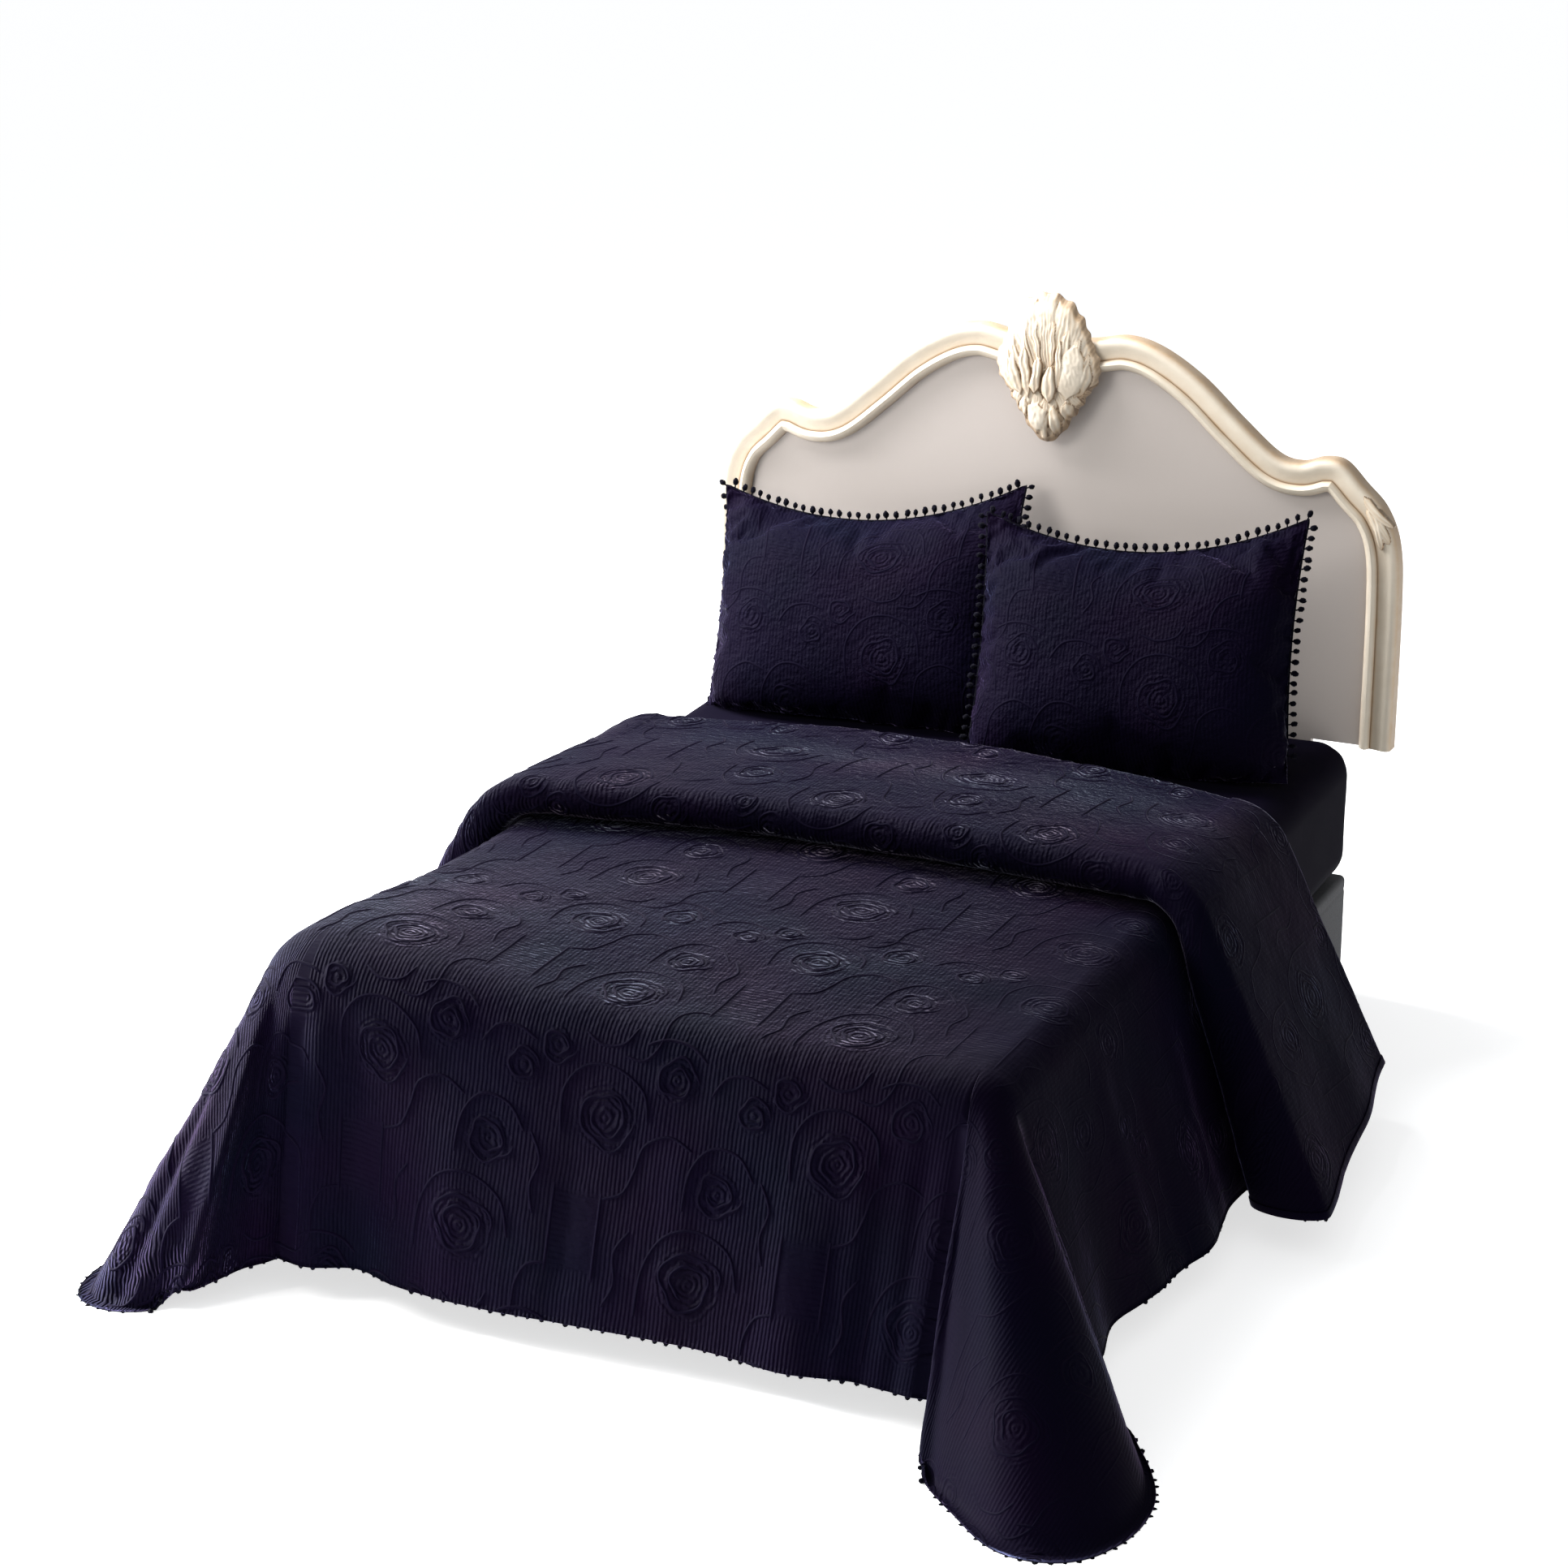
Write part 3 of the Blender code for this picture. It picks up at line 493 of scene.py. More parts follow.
def section_rows():
    """Lengthwise section of the spread, from the foot edge to the tucked-in end.

    Each row is (y, height over the lowest layer, share of the flap's sweep, share of bow, length
    along the cloth from the bed's middle).
    """
    places = [EDGE_Y + (ROLL_Y - EDGE_Y) * k / OPEN_ROWS for k in range(OPEN_ROWS)]
    places += [ROLL_Y + (BACK_Y - ROLL_Y) * k / HIDDEN_ROWS for k in range(HIDDEN_ROWS + 1)]
    rows = []
    for y in places:
        t = (y - EDGE_Y) / (BACK_Y - EDGE_Y)
        rows.append((y, 0.0, 0.0, ease((t - BACK_BOW_FROM) / (1 - BACK_BOW_FROM))))
    for step in range(1, BACK_STEPS + 1):
        angle = math.pi * (step / BACK_STEPS - 0.5)
        rows.append((BACK_Y + BACK_RADIUS * math.cos(angle), BACK_RADIUS * (1 + math.sin(angle)), 0.0, 1.0))
    roll_top = TUCK_HEIGHT + 2 * ROLL_RADIUS
    for step in range(1, BAND_ROWS + 1):
        t = step / BAND_ROWS
        height = 2 * BACK_RADIUS + (roll_top - 2 * BACK_RADIUS) * ease(t)
        rows.append((BACK_Y + (ROLL_Y - BACK_Y) * t, height, t, 1.0 - t))
    for step in range(1, ROLL_STEPS + 1):
        angle = math.pi * (step / ROLL_STEPS + 0.5)
        y = ROLL_Y + ROLL_RADIUS * math.cos(angle)
        rows.append((y, TUCK_HEIGHT + ROLL_RADIUS * (1 + math.sin(angle)), 1.0, 0.0))
    rows.append(((ROLL_Y + TUCK_END_Y) / 2, TUCK_HEIGHT, (1 + TUCK_SWEEP) / 2, 0.0))
    rows.append((TUCK_END_Y, TUCK_HEIGHT, TUCK_SWEEP, 0.0))
    measured = []
    length = EDGE_Y
    for k, (y, height, sweep, bow) in enumerate(rows):
        if k:
            length += math.hypot(y - rows[k - 1][0], height - rows[k - 1][1])
        measured.append((y, height, sweep, bow, length))
    return measured


def side_hem(side, y, height, sweep):
    folds = RIGHT_FOLDS if side > 0 else LEFT_FOLDS
    reach = SIDE_REACH + fold_reach(folds, y) + height * (1 + FLAP_OPENING)
    rise = FLAP_RISE * ease(height / BACK_RADIUS / 2) * (1 - sweep)
    return Vector((side * (CORNER_X + reach), y + FLAP_FORWARD * sweep, HEM_Z + rise))


def top_height(x, y):
    across = 1.0 - (x / EDGE_X) ** 2
    along = ease((y - EDGE_Y) / CROWN_EASE)
    seated = ease((y - BACK_Y) / SEAT_EASE + 1.0)
    return CROWN * across * along * (1.0 - seated) - (CLOTH_GAP - SEAT_GAP) * seated


def puff(x, y):
    distance = math.hypot(x + EDGE_X, y - EDGE_Y)
    return PUFF * math.exp(-((distance / PUFF_WIDTH) ** 2))


def bow_shift(x, row_bow, sweep):
    back = BACK_BOW * (1.0 - (x / EDGE_X) ** 2) * row_bow
    front = -FRONT_BOW * ease((-x - FRONT_BOW_FROM) / FRONT_BOW_LENGTH) * sweep
    return back + front


def line_lengths(points):
    lengths = [0.0]
    for a, b in zip(points, points[1:]):
        lengths.append(lengths[-1] + (b - a).length)
    return lengths


def body_row(cloth, row):
    """One crosswise row of the spread: left hem, over the bed, right hem."""
    y, height, sweep, bow, length = row
    sides = []
    for side in (-1, 1):
        shift = bow_shift(side * EDGE_X, bow, sweep)
        centre = Vector((side * EDGE_X, y + shift, SPREAD_Z - SPREAD_EDGE))
        hem = side_hem(side, y + shift, height, sweep)
        line = skirt_line(centre, hem, height + puff(centre.x, centre.y))
        falls = zip(line, line_lengths(line))
        sides.append([cloth.add(p, (side * (EDGE_X + fall), length)) for p, fall in falls])
    across = []
    for step in range(1, TOP_COLUMNS - 1):
        x = EDGE_X * (2 * step / (TOP_COLUMNS - 1) - 1)
        place = y + bow_shift(x, bow, sweep)
        z = SPREAD_Z + height + top_height(x, place) + puff(x, place)
        across.append(cloth.add((x, place, z), (x, length)))
    return sides[0][::-1] + across + sides[1]


def foot_line(x):
    centre = Vector((x, EDGE_Y, SPREAD_Z - SPREAD_EDGE))
    narrowing = 1.0 - FOOT_NARROWING * (abs(x) / EDGE_X) ** 3
    reach = FOOT_REACH + fold_reach(FOOT_FOLDS, x)
    return skirt_line(centre, Vector((x * narrowing, FOOT_Y - reach, HEM_Z)), puff(x, EDGE_Y))


def flare_line(side, at):
    """One skirt line of a corner flare; `at` runs 0 to 1 from the side to the foot."""
    turn, reach, lift = smooth_table(RIGHT_FLARE if side > 0 else LEFT_FLARE, at)
    angle = math.radians(turn)
    centre = Vector((side * EDGE_X, EDGE_Y, SPREAD_Z - SPREAD_EDGE))
    hem = Vector((
        side * (CORNER_X + reach * math.cos(angle)),
        FOOT_Y + reach * math.sin(angle),
        max(lift, CLOTH / 2),
    ))
    return skirt_line(centre, hem, puff(centre.x, centre.y))


def flare_columns(cloth, side, top):
    columns = []
    for step in range(1, FLARE_STEPS):
        at = (step - 0.5) / (FLARE_STEPS - 1)
        line = flare_line(side, at)
        turn = math.radians(90.0 * step / FLARE_STEPS)
        column = [top]
        for point, fall in list(zip(line, line_lengths(line)))[1:]:
            flat = (side * (EDGE_X + fall * math.cos(turn)), EDGE_Y - fall * math.sin(turn))
            column.append(cloth.add(point, flat))
        columns.append(column)
    return columns


def drape_spread():
    """The spread's sheet, with its rows and its columns round the foot as lists of point numbers."""
    cloth = Cloth()
    sections = section_rows()
    rows = [body_row(cloth, row) for row in sections]
    for row, following in zip(rows, rows[1:]):
        cloth.strip(row, following)
    first = rows[0]
    left_side = first[SKIRT_POINTS - 1::-1]
    right_side = first[len(first) - SKIRT_POINTS:]
    foot_columns = []
    for top in first[SKIRT_POINTS - 1:len(first) - SKIRT_POINTS + 1]:
        x = cloth.points[top].x
        line = foot_line(x)
        falls = list(zip(line, line_lengths(line)))[1:]
        foot_columns.append([top] + [cloth.add(p, (x, EDGE_Y - fall)) for p, fall in falls])
    columns = [left_side] + flare_columns(cloth, -1, left_side[0]) + foot_columns
    columns += flare_columns(cloth, 1, right_side[0])[::-1] + [right_side]
    for left, right in zip(columns, columns[1:]):
        cloth.strip(left, right)
    return cloth, rows, columns, sections


def edge_path(cloth, chain, inner):
    """Rows of (point, way out of the cloth, normal) along its edge."""
    normals = cloth.normals()
    path = []
    last = len(chain) - 1
    for k, edge in enumerate(chain):
        point = cloth.points[edge].copy()
        along = cloth.points[chain[min(k + 1, last)]] - cloth.points[chain[max(k - 1, 0)]]
        out = along.cross(normals[edge]).normalized()
        if out.dot(point - cloth.points[inner[k]]) < 0:
            out = -out
        path.append((point, out, normals[edge].copy()))
    return path


def wrap_hem(cloth, chain, inner):
    """Fold the cloth's edge over to its underside, along a chain of edge points."""
    rings = [chain, [], [], []]
    for edge, inside, row in zip(chain, inner, edge_path(cloth, chain, inner)):
        point, out, normal = row
        flat = cloth.flat[edge]
        inward = (cloth.flat[inside] - flat).normalized()
        for ring, (reach, under) in zip(rings[1:], HEM_FOLDS):
            place = point + out * reach - normal * under
            place.z = max(place.z, FLOOR_CLEAR)
            ring.append(cloth.add(place, flat - inward * (reach + under) * HEM_FLAT_SHARE))
    for ring, following in zip(rings, rings[1:]):
        cloth.strip(ring, following)


def walk(path, pitch, start):
    """Evenly spaced rows along a path."""
    rows = []
    wanted = start
    walked = 0.0
    for (a, out_a, normal_a), (b, out_b, normal_b) in zip(path, path[1:]):
        length = (b - a).length
        while wanted <= walked + length and length > 0:
            t = (wanted - walked) / length
            out = out_a.lerp(out_b, t).normalized()
            normal = normal_a.lerp(normal_b, t).normalized()
            rows.append((a.lerp(b, t), out, normal))
            wanted += pitch
        walked += length
    return rows


def join_rings(faces, rings):
    """Faces between closed rings of point numbers."""
    for a, b in zip(rings, rings[1:]):
        for k in range(len(a)):
            j = (k + 1) % len(a)
            faces.append([a[k], a[j], b[j], b[k]])


def add_tube(points, faces, rings):
    """Join rings of places into a closed tube."""
    numbered = []
    for ring in rings:
        numbered.append(list(range(len(points), len(points) + len(ring))))
        points.extend(ring)
    join_rings(faces, numbered)
    faces.append(numbered[0][::-1])
    faces.append(numbered[-1])


def tape_rings(path, gap, behind):
    """The sections of the narrow braid that carries the pompoms."""
    rings = []
    for point, out, normal in path:
        middle = point + out * (gap + TAPE_DEEP / 2) - normal * behind
        ring = []
        for k in range(TAPE_SIDES):
            turn = 2 * math.pi * k / TAPE_SIDES
            place = middle + out * (TAPE_DEEP / 2 * math.cos(turn))
            place += normal * (TAPE_THICK / 2 * math.sin(turn))
            place.z = max(place.z, FLOOR_CLEAR)
            ring.append(place)
        rings.append(ring)
    return rings


def ball_shapes(count, seed):
    """Rough balls of yarn, each as a list of points round the origin, and their faces."""
    dice = random.Random(seed)
    bm = bmesh.new()
    bmesh.ops.create_icosphere(bm, subdivisions=3, radius=1.0)
    bm.verts.ensure_lookup_table()
    faces = [[v.index for v in face.verts] for face in bm.faces]
    points = [v.co.copy() for v in bm.verts]
    bm.free()
    shapes = []
    for _ in range(count):
        shapes.append(np.array([p * (1.0 + dice.uniform(-1, 1) * BALL_ROUGH) for p in points]))
    return shapes, faces


def hang_way(out, normal, room, reach):
    """The way a pompom hangs: straight out of the cloth, or splayed so that it rests on the floor."""
    down = max(out.z, -max(room, 0.0) / reach)
    level = Vector((out.x + normal.x, out.y + normal.y, 0.0))
    if down == out.z or level.length == 0.0:
        return out
    return level.normalized() * math.sqrt(1.0 - down * down) + Vector((0, 0, down))


def stem_rings(root, way, reaches):
    """The rings of a pompom's stem, at some distances along its way."""
    side = way.orthogonal().normalized()
    other = way.cross(side)
    turns = [2 * math.pi * k / STEM_SIDES for k in range(STEM_SIDES)]
    around = [side * math.cos(turn) + other * math.sin(turn) for turn in turns]
    return [[root + way * reach + spoke * STEM_RADIUS for spoke in around] for reach in reaches]


def pompom_trim(name, path, look, seed, replaced, kind):
    """The braid along a cloth's edge with its pompoms, as one joined mesh."""
    pitch, stem_length, radius, gap, behind, unlike = TRIMS[kind]
    dice = random.Random(seed)
    shapes, ball_faces = ball_shapes(BALL_KINDS, seed)
    points = []
    faces = []
    add_tube(points, faces, tape_rings(path, gap, behind))
    for point, out, normal in walk(path, pitch, pitch / 2):
        root = point + out * (gap + TAPE_DEEP * STEM_ROOT) - normal * behind
        lean = Vector((dice.uniform(-1, 1), dice.uniform(-1, 1), dice.uniform(-1, 1))) * HANG_LEAN
        room = root.z - FLOOR_CLEAR - radius
        hung = stem_length * dice.uniform(*HANG_LENGTHS)
        way = hang_way((out + lean).normalized(), normal, room, hung + radius)
        size = BALL_MOST - unlike * dice.random()
        add_tube(points, faces, stem_rings(root, way, (0.0, hung * 0.6, hung + radius * 0.5)))
        middle = root + way * (hung + radius * size)
        turned = Vector((dice.random(), dice.random(), dice.random())).to_track_quat("Z", "Y").to_matrix()
        ball = dice.choice(shapes) @ np.array(turned) * radius * size
        stretch = np.outer(ball @ np.array(way), np.array(way)) * (BALL_LONG - 1.0)
        places = ball + stretch + np.array(middle)
        start = len(points)
        points.extend(Vector(p) for p in places)
        faces.extend([start + k for k in face] for face in ball_faces)
    for place in points:
        place.z = max(place.z, FLOOR_CLEAR)
    trim = add_piece(name, points, faces, look)
    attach(trim, "root")
    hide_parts(replaced)
    return trim


# The raised pattern: ribbed patches, stems, arches and rosettes on a tile, in half-drop rows.
# All places are metres across and along the flat cut

TILE = (0.44, 0.52)
PATTERN_SHIFT = (0.07, 0.05)

# The stretches of the flat cuts that it covers, from their low corner to their high one
PATTERN_SPAN = (
    (-FLAT_CUT[0] / 2 - 0.1, -FLAT_CUT[1] / 2 - 0.3),
    (FLAT_CUT[0] / 2 + 0.1, FLAT_CUT[1] / 2 + 0.2),
)
SHAM_PATTERN_SPAN = (
    (-1.4, -0.3),
    (1.4, 0.3),
)

# Rosettes. Columns: place across, place along, radius, turns of the outer cord, hand
ROSETTES = (
    (0.315, 0.090, 0.060, 1.70, 1),
    (0.125, 0.345, 0.056, 1.60, -1),
    (0.350, 0.255, 0.044, 1.45, -1),
    (0.250, 0.435, 0.042, 1.40, 1),
    (0.400, 0.400, 0.034, 1.30, 1),
    (0.020, 0.450, 0.034, 1.30, -1),
)

# Stems, arches and short strokes: each is a smooth line through a few places
STEMS = (
    ((0.135, 0.205), (0.172, 0.222), (0.190, 0.262), (0.205, 0.312), (0.250, 0.336), (0.296, 0.318)),
    ((0.045, 0.072), (0.012, 0.060), (-0.006, 0.022), (-0.010, -0.030), (-0.036, -0.062), (-0.070, -0.060)),
    ((0.222, 0.018), (0.228, 0.102), (0.262, 0.164), (0.322, 0.184), (0.386, 0.156), (0.408, 0.094)),
    ((0.044, 0.300), (0.040, 0.376), (0.074, 0.426), (0.132, 0.436), (0.190, 0.404), (0.204, 0.352)),
    ((0.288, 0.214), (0.296, 0.286), (0.330, 0.330), (0.382, 0.326), (0.416, 0.286)),
    ((0.160, 0.020), (0.178, 0.064), (0.172, 0.118), (0.196, 0.160)),
    ((0.186, 0.486), (0.222, 0.502), (0.268, 0.498), (0.302, 0.474)),
    ((0.318, 0.420), (0.344, 0.456), (0.384, 0.464), (0.420, 0.450)),
    ((0.070, 0.486), (0.104, 0.470), (0.144, 0.480), (0.162, 0.512)),
    ((0.010, 0.150), (0.000, 0.196), (0.012, 0.246), (-0.010, 0.290)),
)

# Ribbed patches. Columns: left, lower end, width, length
PATCHES = (
    (0.045, 0.070, 0.090, 0.136),
)
PATCH_LINE_OVER = 0.012
PATCH_FADE = 0.008

# The rosettes' loops and the ground round them
LOOP_STEPS = 0.8
LOOP_WOBBLE = 0.09
LOOP_INNER = 0.42
GROUND_OVER = 1.22
GROUND_FADE = 0.025

# How much fainter the pattern is on the spread's right side, and where along x that begins
QUIET = 0.70
QUIET_FROM = 0.34
QUIET_FADE = 0.32

# The cords of the pattern. Columns of the profile: place across, height
CORD_SHORTEST = 4
CORD_FADE = 3.0
CORD_STEP = 0.0065
CORD_HALF = 0.0037
CORD_RAISE = 0.0019
CORD_ROOT = 0.0010
CORD_PROFILE = ((-1.0, -1.0), (-0.5, 0.62), (0.0, 1.0), (0.5, 0.62), (1.0, -1.0))


def spiral_line(u, v, radius, turns, hand):
    """The outer loops of a rosette: a spiral with an uneven, hand-drawn outline."""
    count = int(2 * math.pi * radius * turns * LOOP_STEPS / CORD_STEP)
    line = []
    for k in range(count + 1):
        t = k / count
        turn = hand * 2 * math.pi * turns * t
        uneven = math.sin(3 * turn + 40 * u) + 0.6 * math.sin(5 * turn + 60 * v)
        reach = radius * (1.0 - (1.0 - LOOP_INNER) * t) * (1.0 + LOOP_WOBBLE * uneven)
        line.append((u + reach * math.cos(turn), v + reach * math.sin(turn)))
    return line


def stem_line(places):
    length = sum(math.dist(a, b) for a, b in zip(places, places[1:]))
    count = int(length / CORD_STEP)
    return [tuple(smooth_table(places, k / count)) for k in range(count + 1)]


def patch_lines(left, low, width, length):
    """The two upright cords at the sides of a ribbed patch."""
    start = low - PATCH_LINE_OVER
    count = int((length + 2 * PATCH_LINE_OVER) / CORD_STEP)
    return [[(u, start + k * CORD_STEP) for k in range(count + 1)] for u in (left, left + width)]


def tile_lines():
    lines = [spiral_line(*row) for row in ROSETTES]
    lines += [stem_line(places) for places in STEMS]
    for row in PATCHES:
        lines += patch_lines(*row)
    return lines


def pattern_lines(low, high):
    """Every line of the pattern over a stretch of the flat cut."""
    lines = []
    tile = tile_lines()
    for j in range(math.floor(low[1] / TILE[1]) - 1, math.ceil(high[1] / TILE[1]) + 1):
        for i in range(math.floor(low[0] / TILE[0]) - 1, math.ceil(high[0] / TILE[0]) + 1):
            shift_u = i * TILE[0] + (j % 2) * TILE[0] / 2 + PATTERN_SHIFT[0]
            shift_v = j * TILE[1] + PATTERN_SHIFT[1]
            lines += [[(u + shift_u, v + shift_v) for u, v in line] for line in tile]
    return lines


def pattern_place(u, v):
    """The pattern at a place: rosette ground, ribbed patch, and the way from the rosette's middle."""
    v = v - PATTERN_SHIFT[1]
    row = math.floor(v / TILE[1])
    along = v - row * TILE[1]
    across = (u - PATTERN_SHIFT[0] - (row % 2) * TILE[0] / 2) % TILE[0]
    ground = 0.0
    nearest = 1.0
    way = (0.0, 0.0)
    for at_u, at_v, radius, _, _ in ROSETTES:
        away_u = (across - at_u + TILE[0] / 2) % TILE[0] - TILE[0] / 2
        away_v = along - at_v
        away = math.hypot(away_u, away_v)
        ground = max(ground, ease((radius * GROUND_OVER - away) / GROUND_FADE))
        if away - radius < nearest:
            nearest = away - radius
            way = (away_u, away_v)
    ribbed = 0.0
    for left, low, width, length in PATCHES:
        inside = min(across - left, left + width - across, along - low, low + length - along)
        ribbed = max(ribbed, ease(inside / PATCH_FADE + 0.5))
    return ground, ribbed, way


def spread_share(u):
    """How much of the pattern shows on the spread: less on its right side, where the cloth is smooth."""
    return 1.0 - QUIET * ease((u - QUIET_FROM) / QUIET_FADE)


def sham_share(u):
    return SHAM_PATTERN


def mark_pattern(item, flat, ground, relief):
    """Keep what the pattern has at each point of a cloth, and how much shows, for its material."""
    found = [pattern_place(place.x, place.y) for place in flat]
    set_attribute(item, "relief", relief)
    set_attribute(item, "ground", [row[0] * ground for row in found])
    set_attribute(item, "ribbed", [row[1] for row in found])
    set_attribute(item, "loop_across", [row[2][0] for row in found])
    set_attribute(item, "loop_along", [row[2][1] for row in found])


def raised_cords(name, find, lines, shown, look, share):
    """Low ridges along the pattern's lines on a cloth.

    shown(u, v) is 1 or -1 for the cloth's face, or 0; share(u) is the height's share there.
    """
    points = []
    faces = []
    for line in lines:
        run = []
        for u, v in line:
            face = shown(u, v)
            found = find(u, v) if face else None
            if found:
                run.append((found[0], found[1] * face, share(u)))
            if (not found or (u, v) == line[-1]) and run:
                if len(run) >= CORD_SHORTEST:
                    add_cord(points, faces, run)
                run = []
    cords = add_piece(name, points, faces, look)
    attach(cords, "root")
    return cords


def add_cord(points, faces, run):
    start = len(points)
    wide = len(CORD_PROFILE)
    last = len(run) - 1
    for k, (point, normal, share) in enumerate(run):
        along = run[min(k + 1, last)][0] - run[max(k - 1, 0)][0]
        side = normal.cross(along).normalized()
        full = ease(min(k, last - k) / CORD_FADE + 0.25)
        for across, height in CORD_PROFILE:
            rise = height * (CORD_RAISE * share if height > 0 else CORD_ROOT)
            reach = side * CORD_HALF * across * (0.5 + 0.5 * full)
            points.append(point + reach + normal * rise * full)
    for a in range(start, start + last * wide, wide):
        for j in range(a, a + wide - 1):
            faces.append([j, j + 1, wide + j + 1, wide + j])


# The bedspread's finer relief

# Creases on the flat cut. Columns: place across, where it starts and ends along, width, height
CREASES = (
    (-0.60, -1.48, -1.06, 0.030, 0.006),
    (-0.52, -1.45, -1.10, 0.024, -0.004),
    (-0.30, -1.50, -1.15, 0.040, 0.004),
    (-0.08, -1.50, -1.20, 0.030, -0.003),
    (0.13, -1.50, -1.12, 0.034, 0.004),
    (0.30, -1.50, -1.18, 0.028, -0.003),
    (0.47, -1.50, -1.08, 0.026, 0.005),
    (0.58, -1.50, -1.05, 0.022, -0.005),
)

# Creases of the sides. Columns: side, place along, where it starts and ends across, width, height
SIDE_CREASES = (
    (1, -0.62, 0.72, 1.26, 0.034, 0.005),
    (1, -0.50, 0.80, 1.26, 0.028, -0.004),
    (1, -0.30, 0.76, 1.26, 0.036, 0.004),
    (-1, -0.66, 0.74, 1.26, 0.034, 0.005),
    (-1, -0.40, 0.80, 1.26, 0.030, -0.004),
    (-1, -0.24, 0.76, 1.26, 0.036, 0.004),
)

# Folds down the corner flares. Columns: side, turn about the corner in degrees and distance from
# it where the fold starts, the same where it ends, width, height
FLARE_CREASES = (
    (-1, 46.0, 0.12, 62.0, 0.68, 0.052, 0.022),
    (-1, 34.0, 0.24, 47.0, 0.70, 0.032, -0.014),
    (-1, 66.0, 0.16, 80.0, 0.62, 0.060, -0.018),
    (1, 9.0, 0.10, 14.0, 0.62, 0.022, 0.010),
    (1, 2.0, 0.12, 5.0, 0.60, 0.022, -0.009),
    (1, 70.0, 0.10, 73.0, 0.68, 0.024, 0.009),
    (1, 60.0, 0.22, 56.0, 0.70, 0.060, -0.006),
)
CREASE_FADE_IN = 0.12
CREASE_FADE_OUT = 0.1
CREASE_OVER = 0.1
FOLD_NARROW = 0.4
FOLD_FADE = 0.6

# Soft puffs and crinkles all over, flatter where the band hides the cloth
PUFF_SIZE = 0.13
PUFF_RAISE = 0.0030
CRINKLE_SIZE = 0.030
CRINKLE_RAISE = 0.0009
CRINKLE_LENGTHEN = 0.7
HIDDEN_RELIEF = 0.2
HIDDEN_FROM = ROLL_Y + 0.05

# Gathers along the front roll, in patches and stronger towards its ends
GATHER_PITCH = 0.030
GATHER_RAISE = 0.0050
GATHER_LENGTHEN = 0.16
GATHER_PATCH = 0.11
GATHER_PATCH_LEVEL = 0.35
GATHER_PATCH_CONTRAST = 1.6
GATHER_MIDDLE = 0.45
GATHER_MIDDLE_HALF = 0.1
GATHER_END_FADE = 0.4
GATHER_AT = 0.035
GATHER_WIDE = 0.070

# Ribs of the left flare's tip
TIP_RIBS = 3.2
TIP_FROM = 0.60
TIP_FADE = 0.10

# Where the raised pattern ends under the front roll and begins again on its face
PATTERN_UNDER_ROLL = 0.02
PATTERN_ROUND_ROLL = 0.09


def ridge(place, at, width):
    return math.exp(-(((place - at) / width) ** 2))


def quilt_noise(u, v, size, seed):
    return noise.noise(Vector((u / size, v / size, seed)))


def crease_height(flat):
    height = 0.0
    for at, start, end, width, rise in CREASES:
        if abs(flat.x) < EDGE_X + CREASE_OVER:
            fade = ease((end - flat.y) / CREASE_FADE_IN)
            fade *= ease((flat.y - start + 2 * CREASE_OVER) / CREASE_FADE_OUT)
            height += rise * ridge(flat.x, at, width) * fade
    for side, at, start, end, width, rise in SIDE_CREASES:
        if flat.x * side > 0 and flat.y < ROLL_Y:
            fade = ease((abs(flat.x) - start) / CREASE_FADE_IN)
            fade *= ease((end + CREASE_OVER - abs(flat.x)) / CREASE_FADE_OUT)
            height += rise * ridge(flat.y, at, width) * fade
    for side, turn, near, end_turn, far, width, rise in FLARE_CREASES:
        if flat.x * side > EDGE_X - CREASE_OVER and flat.y < EDGE_Y + CREASE_OVER:
            start = flare_place(side, turn, near)
            end = flare_place(side, end_turn, far)
            height += rise * fold_along(flat, start, end, width)
    return height


def flare_place(side, turn, distance):
    """A place on the flat cut, by its turn about a foot corner and its distance from it."""
    turn = math.radians(turn)
    return Vector((side * (EDGE_X + distance * math.cos(turn)), EDGE_Y - distance * math.sin(turn)))


def fold_along(place, start, end, width):
    """A fold from start on, narrow at first and as wide as `width` at its end."""
    way = (end - start).normalized()
    along = (place - start).dot(way) / (end - start).length
    across = (place - start).cross(way)
    spread = width * (FOLD_NARROW + (1.0 - FOLD_NARROW) * ease(along))
    return ridge(across, 0.0, spread) * ease(along / FOLD_FADE)


def gathered(flat, roll_length):
    """How much the cloth is gathered: along the front roll, more towards its ends."""
    outer = ease((abs(flat.x) - GATHER_MIDDLE_HALF) / GATHER_END_FADE)
    strength = GATHER_MIDDLE + (1.0 - GATHER_MIDDLE) * outer
    return ridge(flat.y, roll_length + GATHER_AT, GATHER_WIDE) * strength


def tip_ribs(flat):
    """Where the left flare's tip is drawn into ribs."""
    away = flat - Vector((-EDGE_X, EDGE_Y))
    inside = flat.x < -EDGE_X and flat.y < EDGE_Y
    return TIP_RIBS * ease((away.length - TIP_FROM) / TIP_FADE) if inside else 0.0


